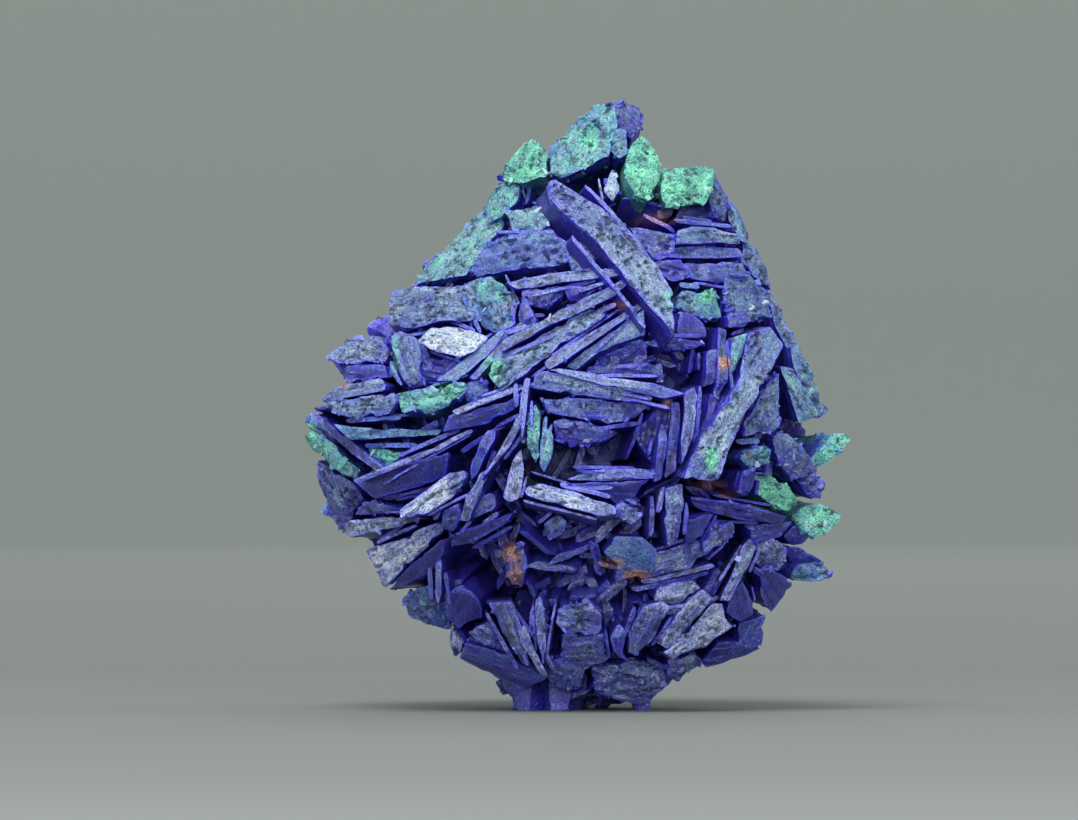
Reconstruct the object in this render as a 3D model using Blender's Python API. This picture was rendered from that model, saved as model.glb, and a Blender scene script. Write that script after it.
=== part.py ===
"""Azurite specimen: one natural cluster of tabular crystals, all grown together round a common middle.

The tables are in millimetres, +X to the right, +Z up, and the front faces -Y. The cluster stands at z = 0
on the flat place where it broke away from its rock. All outer faces touch one rounded form. A crystal on
the front is given by the outline of its outer face as seen from the front, and its depth follows from the
form. The crystals of the back and the sides, and the small ones between the large, follow a rule.
"""

import math
import random

import bmesh
import bpy
from mathutils import Matrix, Vector

# Driving dimensions, in millimetres unless named otherwise
MM = 0.001
DEPTH_SHARE = 0.88  # the cluster's depth over its width
CORE_INSET = 1.8  # how far the massive middle lies under the crystal faces
CORE_SIDES = 10
CORE_LEVELS = (0.6, 3.5, 7.5, 14.0, 19.0, 22.5, 26.0)
ROOT_DEEP = 4.6  # how far a crystal reaches in below its outer face
FACE_FOLLOWS = 0.75  # how far a front face turns with the form: 0 faces the front, 1 lies on the form
STEEPEST = 0.95  # the steepest slope that the form gives a front face
FLATTEST_FACET = 0.6  # degrees; facets closer to one plane than this are one facet

BACK_SEED = 11
BACK_TRIALS = 150
BACK_LENGTH = (4.0, 7.6)
BACK_THIN = 0.8
BACK_THICKER = 2.3  # added to the thinnest, rarely in full
BACK_MIDDLE = 14.2
BACK_REACH = 13.4
BACK_SUNK = 1.5  # how far the crystals behind the outline stay inside it
CROWN_HEIGHT = 27.0  # from here up the back is kept as slim as the crown
FOOT_HEIGHT = 1.5  # and from here down as slim as the foot
END_FADE = 4.0
END_SUNK = 0.5
BUNDLE_SPREAD = 0.28  # radians

FILL_SEED = 5
FILL_TRIALS = 20
FILL_LENGTH = (1.8, 4.2)
FILL_WIDTH = (0.45, 0.9)

SWIRL_SEED = 3
SWIRL_MIDDLE = (-0.4, 7.4)
SWIRL_CRYSTALS = 18
SWIRL_REACH = (0.9, 4.6)

# The form that the outer faces touch: height, then the left and right reach at that height
FORM = (
    (-1.0, -3.0, 3.4), (0.0, -3.6, 4.0), (1.5, -4.6, 5.6), (3.0, -6.2, 8.6), (5.0, -8.2, 9.9),
    (7.0, -9.8, 10.8), (9.0, -11.6, 11.2), (11.0, -12.6, 11.8), (14.0, -13.1, 12.1), (16.0, -12.4, 11.8),
    (18.0, -10.8, 11.2), (21.0, -9.0, 9.9), (23.0, -6.7, 9.1), (25.0, -4.8, 8.2), (27.0, -3.6, 6.4),
    (28.5, -2.4, 4.0), (30.5, -0.6, 2.6))

# The outer faces of a tablet and of a small splinter, as shares of length and width
TABLET = ((-0.5, -0.1), (-0.4, 0.5), (0.45, 0.5), (0.5, -0.45), (-0.36, -0.5))
SPLINTER = ((-0.5, -0.2), (-0.3, 0.5), (0.5, 0.3), (0.35, -0.5))

# Front crystals: name, how far the outer face stands proud of the form, how steeply it turns up, how far the
# root shifts to the right and up (None: towards the middle), and the outline of the face

# The crown and what surrounds the hollow under it
CROWN = (
    ("crown_prism", 0.3, 0.15, (0.3, -0.6), (
        (-1.3, 28.05), (1.0, 30.45), (2.0, 30.3), (2.2, 29.25), (1.75, 27.55), (-0.6, 26.45),
        (-1.2, 26.65))),
    ("crown_cap", 0.0, -0.2, None, (
        (1.55, 30.5), (2.5, 30.45), (3.3, 30.1), (3.55, 29.55), (3.4, 28.95), (2.9, 28.55), (2.2, 29.15))),
    ("teal_chip", 0.4, 0.2, None, (
        (1.9, 29.05), (2.6, 29.1), (2.7, 27.7), (2.2, 27.4), (1.8, 28.0))),
    ("green_shoulder", 0.4, 0.25, (0.2, -0.6), (
        (-3.6, 27.1), (-2.7, 28.35), (-2.1, 28.65), (-1.6, 28.25), (-1.3, 27.85), (-1.35, 26.55),
        (-2.6, 26.3), (-3.6, 26.45))),
    ("slope_upper", 0.2, 0.1, None, (
        (-4.2, 26.2), (-3.6, 26.55), (-2.7, 26.25), (-2.8, 25.45), (-3.6, 24.55), (-4.4, 24.2),
        (-4.7, 24.95))),
    ("slope_lower", 0.2, 0.2, None, (
        (-4.6, 25.3), (-3.9, 25.15), (-3.6, 24.35), (-4.5, 23.05), (-5.4, 21.65), (-8.3, 21.1),
        (-7.6, 22.15), (-5.85, 23.85))),
    ("notch_chips", 0.1, 0.5, None, (
        (-3.6, 24.9), (-1.9, 25.1), (-1.1, 24.5), (-1.7, 23.9), (-3.2, 23.9))),
    ("dark_boulder", 0.9, -0.5, (0.3, -0.8), (
        (-5.25, 21.95), (-4.6, 22.9), (-3.6, 23.75), (-2.35, 24.1), (-1.0, 24.05), (-0.25, 23.15),
        (-0.3, 22.35), (-1.2, 22.05), (-3.35, 21.8), (-4.85, 21.5))),
    ("lavender_lump", 0.5, 0.1, None, (
        (-0.45, 23.4), (0.6, 23.3), (1.2, 22.45), (1.0, 21.85), (-0.1, 21.7), (-0.5, 22.5))),
    ("long_blade", 2.2, 0.25, (-1.1, -1.1), (
        (-1.15, 26.5), (-0.8, 26.55), (2.75, 24.3), (4.95, 20.75), (4.95, 18.55), (3.9, 19.75),
        (0.7, 23.65), (-1.05, 25.45))),
    ("pale_diamond", -0.4, 0.2, None, (
        (1.9, 27.05), (2.3, 25.95), (1.9, 25.25), (1.4, 25.85))),
    ("green_tooth_left", 0.9, 0.15, None, (
        (2.5, 27.45), (2.9, 28.3), (3.4, 28.7), (4.0, 28.1), (4.5, 26.95), (4.15, 26.15), (3.7, 25.5),
        (2.9, 25.75), (2.55, 26.45))),
    ("green_tooth_right", 0.8, 0.2, (0.0, 0.3), (
        (4.45, 26.95), (6.3, 27.15), (7.0, 27.0), (6.95, 25.95), (6.6, 25.25), (4.5, 24.95), (4.3, 25.75))),
    ("tooth_flank", 0.2, 0.0, None, (
        (6.9, 26.95), (7.5, 26.15), (8.0, 25.15), (7.6, 24.35), (7.0, 24.65), (6.7, 25.45))),
    ("right_shoulder", 0.0, 0.0, None, (
        (7.8, 25.65), (8.25, 25.05), (8.9, 23.65), (8.6, 23.15), (8.1, 23.55), (7.6, 24.55))),
    ("right_slope", 0.0, 0.0, None, (
        (8.6, 23.65), (9.2, 23.05), (9.8, 21.95), (9.95, 20.85), (9.0, 21.55), (8.3, 22.35))),
    ("upper_ledge", 0.6, 0.3, None, (
        (5.1, 23.9), (5.9, 24.15), (7.2, 24.05), (8.3, 23.85), (8.45, 23.3), (5.0, 23.15))),
    ("middle_ledge", 0.3, 0.2, None, (
        (4.9, 23.1), (8.3, 23.1), (8.45, 22.55), (6.4, 22.45), (5.0, 22.55))),
    ("lower_ledge", 0.4, 0.2, None, (
        (5.5, 22.35), (8.5, 22.35), (8.75, 21.45), (7.15, 21.25), (5.8, 21.5))),
    ("cavity_sill", 0.2, -0.2, None, (
        (2.6, 24.15), (3.65, 24.0), (5.1, 23.85), (5.0, 22.65), (4.0, 22.25), (3.1, 23.15))),
    ("sill_foot", 0.1, -0.3, None, (
        (3.65, 22.35), (5.4, 22.45), (5.9, 21.55), (4.8, 21.25), (4.0, 21.85))),
    ("patch_block", 1.0, 0.1, (0.0, -0.6), (
        (5.0, 20.85), (7.1, 21.0), (7.35, 19.55), (6.4, 19.45), (5.0, 19.95))),
    ("blue_gem", 0.7, -0.3, None, (
        (5.05, 19.9), (5.9, 19.8), (6.5, 19.15), (6.6, 18.55), (5.9, 18.4), (5.05, 18.75))),
    ("right_upper_face", 0.5, 0.0, None, (
        (7.4, 22.05), (8.6, 21.95), (9.7, 21.05), (10.0, 19.55), (8.7, 19.25), (7.5, 19.65))),
    ("right_step", 0.8, -0.2, None, (
        (7.5, 19.75), (8.7, 19.85), (8.65, 19.05), (7.6, 19.0))),
    ("right_upper_edge", 0.0, 0.0, None, (
        (9.6, 21.15), (10.0, 20.95), (10.7, 19.45), (11.2, 18.15), (10.6, 17.95), (10.0, 19.15))),
)

# The left shoulder
LEFT_SHOULDER = (
    ("pitted_mass", 0.6, 0.2, (0.0, -0.6), (
        (-9.3, 20.95), (-8.5, 21.15), (-6.1, 21.15), (-4.6, 21.65), (-4.3, 20.45), (-5.1, 19.35),
        (-6.6, 19.35), (-8.4, 18.85), (-9.3, 19.15))),
    ("teal_dome", 0.9, 0.0, (0.0, -0.5), (
        (-4.7, 21.55), (-4.2, 21.75), (-3.5, 21.25), (-2.8, 20.35), (-3.0, 19.05), (-3.85, 18.7),
        (-4.9, 19.25), (-5.1, 20.45))),
    ("left_box", 0.6, 0.5, (1.0, -1.0), (
        (-12.55, 17.6), (-11.35, 18.5), (-10.5, 18.8), (-9.5, 18.65), (-9.3, 17.85), (-9.5, 17.35),
        (-11.0, 17.25), (-12.1, 17.3))),
    ("box_foot", 0.2, -0.5, None, (
        (-12.2, 17.25), (-9.5, 17.25), (-9.2, 16.55), (-11.35, 16.25), (-11.7, 16.45))),
    ("left_upright", 0.9, 0.0, None, (
        (-9.2, 18.55), (-8.7, 18.95), (-7.7, 18.45), (-7.65, 16.15), (-8.4, 16.05), (-8.9, 17.05))),
    ("pale_lozenge", 1.2, 0.6, (0.2, -0.9), (
        (-7.85, 18.4), (-7.2, 19.1), (-6.3, 19.25), (-5.0, 18.95), (-4.15, 18.55), (-4.9, 17.85),
        (-5.65, 17.5), (-7.1, 17.9))),
    ("lozenge_step", 0.2, -0.4, None, (
        (-7.7, 17.85), (-5.7, 17.35), (-6.2, 16.45), (-7.5, 16.35))),
    ("grey_rod", 1.0, 0.1, (0.6, -0.4), (
        (-3.6, 18.95), (-2.9, 19.35), (-4.4, 17.55), (-5.7, 16.4), (-7.0, 16.35), (-5.5, 17.45))),
    ("purple_fin", 1.1, 0.0, None, (
        (-3.0, 19.55), (-2.65, 20.6), (-2.4, 20.55), (-1.8, 19.35), (-2.4, 18.85))),
    ("thin_purple_blade", 1.4, 0.2, (0.4, -0.4), (
        (-2.7, 19.35), (-2.3, 19.15), (-4.9, 16.4), (-5.25, 16.55))),
)

# The bars that run down from the long blade to the left
DIAGONALS = (
    ("flat_bar", 1.3, 0.3, (0.0, -0.5), (
        (-3.5, 21.35), (-1.6, 21.65), (0.9, 22.0), (2.0, 21.95), (2.3, 21.5), (-0.6, 21.25), (-2.9, 20.9))),
    ("under_bar", 0.8, -0.2, None, (
        (-2.8, 20.85), (-0.6, 21.2), (-0.5, 20.65), (-1.35, 19.85), (-2.4, 20.15))),
    ("blue_wedge", 0.9, -0.3, None, (
        (-0.6, 21.1), (1.5, 21.0), (0.4, 20.35), (-0.3, 20.35))),
    ("diagonal_rim_right", 1.9, 0.3, (0.4, -0.6), (
        (-0.3, 20.15), (2.0, 21.25), (2.4, 21.6), (2.6, 21.15), (2.0, 20.55), (0.0, 19.65))),
    ("diagonal_rim_left", 2.0, 0.3, (0.4, -0.5), (
        (-3.7, 18.25), (-3.1, 18.65), (-0.2, 20.15), (0.1, 19.7), (-2.6, 18.35), (-3.6, 17.8))),
    ("pitted_bar", 1.6, 0.2, (0.5, -0.9), (
        (-4.35, 16.75), (-4.0, 17.8), (-2.6, 18.15), (-0.5, 19.35), (1.6, 20.4), (1.6, 19.55),
        (-0.6, 18.15), (-2.5, 16.65), (-3.7, 15.9))),
    ("slab_rim", 1.8, 0.3, (0.4, -0.5), (
        (-1.55, 17.3), (-0.6, 18.0), (1.4, 19.15), (3.4, 20.45), (3.5, 20.1), (1.7, 18.85), (-0.5, 17.35),
        (-1.3, 16.9))),
    ("grey_slab", 1.4, 0.1, (0.3, -0.7), (
        (-0.6, 17.15), (1.7, 18.75), (3.45, 20.0), (3.5, 18.65), (2.0, 18.15), (1.0, 17.65), (0.1, 16.95))),
    ("slab_back", 0.4, -0.4, None, (
        (1.4, 17.95), (3.4, 18.55), (3.9, 18.2), (3.4, 17.05), (0.9, 17.05))),
    ("hollow_lintel", 0.7, -0.5, None, (
        (3.2, 18.3), (4.8, 18.55), (6.6, 18.3), (5.9, 17.95), (4.4, 17.85))),
    ("middle_slat", 0.2, -0.4, None, (
        (0.65, 17.15), (4.4, 17.35), (4.5, 16.3), (2.8, 16.25), (0.6, 16.75))),
)

# The middle of the front: level bars on top, upright blades below them
CENTRE = (
    ("centre_rim", 2.0, 0.4, (0.0, -0.5), (
        (-1.35, 16.9), (-1.0, 17.05), (4.4, 16.2), (5.5, 15.8), (4.4, 15.55), (1.4, 16.15))),
    ("centre_bar", 1.7, 0.1, (0.0, -0.6), (
        (-2.1, 16.05), (-2.0, 16.7), (-1.5, 16.9), (1.4, 16.4), (4.0, 15.85), (3.65, 15.25), (2.0, 15.45),
        (-0.6, 15.8))),
    ("second_slate", 1.2, -0.2, (0.0, -0.5), (
        (-1.7, 15.65), (1.4, 15.45), (3.9, 15.35), (2.8, 14.45), (1.6, 14.25), (-0.6, 14.65),
        (-1.5, 14.85))),
    ("third_slate", 0.9, -0.4, (0.0, -0.4), (
        (-1.1, 14.45), (-0.5, 14.65), (1.4, 14.25), (2.25, 13.9), (1.4, 13.35), (0.1, 13.1),
        (-0.9, 13.45))),
    ("cross_bar", 0.9, 0.3, (0.0, -0.4), (
        (-0.5, 11.55), (0.9, 12.05), (4.0, 12.1), (4.0, 11.6), (1.4, 11.45))),
    ("hollow_cheek", 0.5, -0.3, None, (
        (2.9, 13.75), (4.2, 15.35), (5.0, 15.55), (4.8, 13.65), (4.3, 12.15), (3.7, 12.35))),
    ("upright_left", 1.3, 0.0, None, (
        (4.2, 13.95), (4.6, 14.05), (4.4, 11.55), (3.9, 11.35), (4.0, 12.7))),
    ("upright_middle", 1.1, 0.0, None, (
        (4.8, 15.35), (5.3, 15.35), (5.0, 11.95), (4.5, 11.55), (4.6, 13.45))),
    ("upright_right", 1.5, 0.1, (-0.5, 0.0), (
        (5.5, 15.85), (6.0, 16.15), (6.15, 15.65), (5.8, 13.45), (5.3, 12.25), (5.2, 13.45))),
    ("thin_pin", 1.8, 0.2, (0.4, 0.0), (
        (-2.5, 16.55), (-2.2, 16.55), (-2.4, 14.45), (-2.6, 13.45), (-2.75, 14.95))),
    ("slender_upper", 1.7, 0.2, (0.6, -0.3), (
        (-3.1, 14.05), (-2.8, 14.85), (-2.5, 15.15), (-2.6, 14.2), (-3.2, 13.15), (-4.3, 11.85),
        (-4.7, 11.45), (-4.1, 12.45))),
    ("slender_lower", 1.6, 0.2, (0.6, -0.2), (
        (-4.7, 11.85), (-4.1, 12.15), (-4.6, 10.85), (-5.3, 9.45), (-5.8, 9.45), (-5.3, 10.85))),
    ("purple_rod", 1.4, -0.2, (0.4, -0.2), (
        (-4.4, 14.05), (-3.9, 14.05), (-3.9, 13.65), (-4.8, 11.75), (-5.2, 11.25), (-5.1, 12.35))),
    ("pale_blade", 1.5, 0.2, (-0.4, 0.0), (
        (-3.0, 12.65), (-2.6, 13.05), (-2.45, 11.95), (-2.65, 10.6), (-3.2, 10.35), (-3.55, 10.6),
        (-3.3, 11.65))),
    ("green_blade", 1.4, 0.2, (0.3, 0.0), (
        (-2.4, 14.85), (-1.9, 15.35), (-1.65, 14.85), (-1.75, 12.65), (-2.05, 12.45), (-2.4, 13.15))),
    ("teal_blade", 1.3, 0.2, None, (
        (-1.7, 13.55), (-1.3, 14.15), (-0.95, 13.65), (-1.1, 12.65), (-1.5, 11.75), (-1.8, 12.25))),
    ("pale_diagonal", 1.6, 0.4, (0.0, -0.7), (
        (-2.5, 11.15), (-1.7, 11.4), (-0.1, 11.05), (2.0, 10.3), (2.2, 9.85), (1.2, 9.75), (-1.1, 10.35),
        (-2.4, 10.75))),
    ("navy_wedge", 0.7, -0.4, None, (
        (-0.5, 11.35), (1.4, 11.45), (3.8, 11.55), (3.0, 10.65), (2.2, 10.25), (0.9, 10.75))),
    ("blue_chips", 1.2, 0.1, None, (
        (2.0, 10.25), (2.4, 10.45), (3.4, 9.75), (2.8, 9.25), (2.0, 9.75))),
    ("upright_rod", 1.4, 0.1, (-0.3, 0.0), (
        (4.5, 11.15), (5.4, 11.35), (5.4, 10.2), (5.15, 8.45), (4.6, 8.15), (4.4, 9.45))),
    ("navy_right", 0.4, -0.4, None, (
        (5.4, 9.65), (6.9, 9.9), (6.3, 8.65), (5.5, 8.15))),
    ("slate_right", 0.6, 0.1, None, (
        (6.4, 8.45), (7.0, 9.45), (8.0, 9.45), (8.15, 8.75), (7.15, 8.05), (6.3, 7.85))),
)

# The bars and plates that reach out to the left
LEFT_MIDDLE = (
    ("top_thin_bar", 0.6, 0.3, (0.3, -0.3), (
        (-12.75, 15.55), (-12.0, 16.1), (-9.7, 16.6), (-9.25, 16.25), (-9.4, 15.9), (-12.6, 15.3))),
    ("left_bar", 1.0, 0.2, (0.4, -0.5), (
        (-13.2, 15.1), (-12.1, 15.45), (-8.85, 15.9), (-8.75, 15.35), (-9.2, 14.75), (-10.8, 14.45),
        (-12.1, 14.8))),
    ("green_ended_bar", 1.3, 0.2, (0.2, -0.6), (
        (-8.85, 15.85), (-7.1, 16.1), (-5.4, 16.4), (-5.2, 15.95), (-5.65, 15.45), (-7.1, 14.8),
        (-8.6, 14.8))),
    ("dark_round", 1.0, -0.2, None, (
        (-5.35, 16.35), (-4.5, 16.5), (-4.2, 15.75), (-4.7, 15.3), (-5.5, 15.35))),
    ("lower_arm", 0.9, 0.3, (0.6, 0.3), (
        (-13.0, 14.75), (-12.6, 14.55), (-10.6, 13.05), (-9.4, 12.15), (-9.7, 11.85), (-11.6, 13.15),
        (-12.9, 14.25))),
    ("inner_wedge", 0.4, 0.1, (0.2, -0.5), (
        (-12.1, 14.35), (-11.0, 14.15), (-8.6, 14.05), (-6.6, 14.05), (-6.8, 13.75), (-9.35, 13.55),
        (-11.1, 13.45))),
    ("green_wedge", 0.2, 0.1, None, (
        (-10.5, 13.15), (-8.6, 12.95), (-8.7, 12.45), (-9.4, 12.15), (-10.1, 12.65))),
    ("left_plate", 1.1, 0.3, (0.8, -0.3), (
        (-13.65, 13.8), (-13.0, 13.95), (-12.0, 13.35), (-10.7, 11.95), (-11.0, 11.45), (-12.1, 12.05),
        (-13.35, 13.1))),
    ("left_plate_back", 0.6, -0.2, None, (
        (-13.4, 14.85), (-12.9, 14.85), (-11.6, 13.45), (-12.1, 13.2), (-13.35, 14.05))),
    ("left_low_face", 0.4, 0.1, (0.8, 0.0), (
        (-12.85, 12.55), (-11.0, 11.35), (-10.5, 10.55), (-11.35, 9.35), (-11.9, 8.85), (-12.5, 10.05),
        (-12.85, 11.25))),
    ("big_dark_blade", 0.8, -0.6, (0.2, -0.5), (
        (-11.0, 11.4), (-8.7, 12.3), (-6.2, 12.95), (-6.4, 11.75), (-7.6, 11.15), (-9.9, 10.55))),
    ("dark_blade_rim", 1.2, 0.5, None, (
        (-11.0, 11.5), (-8.7, 12.45), (-6.8, 13.2), (-5.2, 14.05), (-5.1, 13.85), (-6.7, 12.95),
        (-8.6, 12.15), (-10.8, 11.3))),
    ("upper_dark_blade", 0.9, -0.5, (0.2, -0.6), (
        (-6.55, 13.85), (-6.2, 14.75), (-3.6, 15.35), (-2.55, 15.85), (-2.6, 15.25), (-4.3, 14.25),
        (-6.1, 13.95))),
    ("upper_dark_rim", 1.4, 0.5, (0.1, -0.4), (
        (-6.1, 14.95), (-2.6, 16.25), (-2.45, 16.0), (-5.9, 14.7))),
    ("striated_upper", 1.2, 0.35, (0.3, -0.5), (
        (-8.7, 10.05), (-7.6, 10.85), (-6.3, 11.85), (-5.5, 12.05), (-5.3, 11.75), (-6.0, 10.65),
        (-7.1, 9.85), (-8.6, 9.55))),
    ("striated_left", 0.9, 0.4, (0.4, -0.4), (
        (-11.8, 8.9), (-11.3, 9.5), (-8.6, 9.75), (-7.35, 9.65), (-8.7, 9.15), (-11.1, 8.6))),
    ("slate_wedge", 0.5, 0.0, None, (
        (-11.1, 9.7), (-10.35, 10.45), (-9.0, 10.2), (-8.6, 9.85))),
    ("striated_lower", 1.0, 0.45, (0.5, 0.2), (
        (-10.5, 8.05), (-8.7, 8.55), (-7.0, 9.45), (-6.3, 9.45), (-6.7, 8.65), (-8.4, 7.15), (-9.4, 6.05),
        (-9.8, 6.85))),
    ("dark_keel", 0.7, -0.6, (0.9, -0.3), (
        (-9.4, 6.0), (-8.3, 7.15), (-6.6, 8.6), (-6.0, 8.85), (-6.5, 7.85), (-7.2, 6.75), (-8.5, 6.15))),
    ("blue_corner", 1.1, 0.0, None, (
        (-6.6, 9.95), (-5.7, 10.45), (-5.5, 9.45), (-6.1, 8.85), (-6.7, 9.05))),
    ("dark_band", 0.7, -0.5, None, (
        (-6.2, 8.85), (-4.6, 9.35), (-2.8, 10.05), (-3.35, 9.35), (-5.1, 8.35), (-6.35, 8.05))),
    ("rough_step", 0.9, 0.1, None, (
        (-5.2, 10.45), (-4.1, 10.95), (-3.7, 10.15), (-5.0, 9.55))),
)

# The lower front, from the left round to the fan of plates on the right
LOWER = (
    ("low_left_spike", 0.2, 0.1, (0.9, 0.3), (
        (-8.6, 5.55), (-8.1, 6.05), (-7.0, 6.35), (-6.4, 5.25), (-6.3, 3.85), (-8.25, 4.55))),
    ("edge_upright", 0.9, 0.1, (0.4, 0.0), (
        (-6.9, 7.65), (-6.6, 7.75), (-6.55, 5.95), (-6.75, 5.25), (-6.95, 5.95))),
    ("dark_pocket", 0.1, -0.4, None, (
        (-6.5, 5.85), (-5.6, 6.35), (-4.7, 5.55), (-4.6, 4.55), (-5.8, 4.05), (-6.4, 4.75))),
    ("bottom_left_face", 0.9, -0.2, (0.4, 0.3), (
        (-5.85, 2.5), (-5.5, 3.45), (-3.6, 2.95), (-1.3, 1.65), (-2.1, 1.2), (-2.8, 0.95))),
    ("pale_chip", 0.9, 0.2, None, (
        (-6.35, 3.95), (-6.0, 4.05), (-5.5, 3.4), (-5.6, 2.7), (-6.1, 2.65))),
    ("rough_wedge", 0.8, 0.1, None, (
        (-5.4, 3.95), (-4.4, 4.45), (-3.4, 3.05), (-4.7, 3.35))),
    ("front_blade", 1.5, 0.1, (-0.5, -0.2), (
        (-4.3, 5.45), (-3.0, 5.55), (-2.6, 4.35), (-2.2, 2.45), (-1.4, 1.75), (-2.6, 2.35), (-3.6, 3.95))),
    ("front_blade_right", 1.7, 0.2, (-0.4, -0.1), (
        (-2.85, 4.2), (-2.4, 4.35), (-1.85, 2.95), (-1.2, 1.65), (-1.6, 1.75), (-2.6, 3.2))),
    ("sparkling_rod", 1.5, 0.1, None, (
        (-2.0, 5.55), (-1.7, 5.75), (-1.45, 4.85), (-1.35, 3.2), (-1.55, 2.25), (-1.95, 3.45))),
    ("rough_tip", 0.9, -0.2, None, (
        (-1.6, 2.35), (-0.5, 2.7), (0.6, 2.35), (0.4, 1.05), (-0.5, 0.95), (-1.3, 1.45))),
    ("rough_block", 1.1, 0.0, None, (
        (-0.85, 5.15), (0.65, 5.55), (1.4, 4.85), (1.3, 3.85), (-0.2, 3.75), (-1.0, 4.35))),
    ("lower_block", 0.8, -0.1, None, (
        (-0.6, 3.85), (1.6, 3.85), (1.7, 2.45), (0.4, 2.05), (-0.8, 2.7))),
    ("pitted_chip", 0.6, 0.0, None, (
        (-1.6, 9.35), (-0.8, 9.85), (-0.3, 9.45), (-0.5, 8.85), (-1.3, 8.45))),
    ("teal_plate", 0.4, -0.2, None, (
        (1.4, 7.85), (2.0, 8.7), (3.4, 8.7), (4.15, 8.05), (3.9, 6.85), (2.65, 6.95))),
    ("rough_lamina", 0.0, 0.2, None, (
        (2.1, 7.4), (6.4, 8.65), (7.6, 8.4), (5.8, 7.1), (3.6, 6.5), (2.05, 6.45))),
    ("clay_patch", 0.1, 0.0, None, (
        (-3.4, 8.2), (-2.6, 8.45), (-2.3, 7.45), (-2.6, 6.2), (-3.2, 6.25), (-3.5, 7.35))),
    ("pitted_rod", 1.0, 0.2, (0.5, -0.2), (
        (7.8, 6.95), (8.3, 8.25), (8.8, 8.75), (9.05, 8.2), (8.65, 7.15), (8.2, 6.45), (7.7, 5.45),
        (7.1, 5.45))),
    ("fan_plate", 1.3, 0.25, (0.2, -0.5), (
        (5.9, 4.35), (6.8, 5.45), (7.4, 5.45), (7.5, 4.65), (8.2, 4.3), (6.5, 3.15), (4.8, 2.55),
        (4.2, 2.95))),
    ("fan_middle", 1.0, 0.1, (-0.4, 0.0), (
        (5.6, 5.55), (6.4, 6.15), (7.0, 5.55), (4.6, 3.05), (4.0, 3.45))),
    ("fan_left", 1.1, 0.0, (-0.4, 0.0), (
        (3.4, 5.3), (4.4, 5.55), (4.8, 5.25), (3.9, 3.45), (3.2, 2.65), (2.6, 2.85), (2.8, 4.35))),
    ("blue_hook", 1.2, 0.0, None, (
        (1.7, 3.65), (2.2, 4.35), (2.6, 3.95), (2.4, 2.95), (2.7, 2.45), (2.0, 2.85))),
    ("upper_fan", 0.7, 0.2, None, (
        (4.15, 6.35), (5.9, 6.55), (6.4, 6.05), (5.0, 5.15), (3.9, 5.45))),
    ("navy_facet", 0.5, -0.2, None, (
        (7.5, 4.85), (7.8, 5.85), (8.4, 6.55), (9.0, 5.45), (9.0, 4.65), (8.3, 4.35))),
    ("navy_corner", 0.3, -0.3, (-0.6, 0.4), (
        (8.9, 7.05), (9.7, 7.35), (11.0, 6.3), (9.85, 4.8), (9.4, 5.25))),
    ("navy_foot", 0.2, -0.1, None, (
        (8.2, 4.35), (9.7, 4.75), (9.5, 3.75), (9.45, 3.15), (8.0, 2.95))),
    ("right_keel", 0.2, -0.3, (-0.3, 0.5), (
        (6.4, 2.35), (7.2, 3.35), (8.0, 3.45), (9.4, 3.05), (8.4, 2.55), (6.5, 2.0))),
    ("keel_chips", 0.4, 0.0, None, (
        (4.6, 2.45), (5.9, 2.85), (6.5, 2.45), (6.4, 2.05), (5.2, 1.35), (4.6, 1.65))),
    ("bottom_point", 0.7, -0.1, None, (
        (0.9, 2.05), (2.8, 2.35), (4.4, 2.25), (4.8, 1.25), (4.1, 0.8), (3.75, 0.15), (2.4, 0.4),
        (1.0, 0.85))),
)

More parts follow.
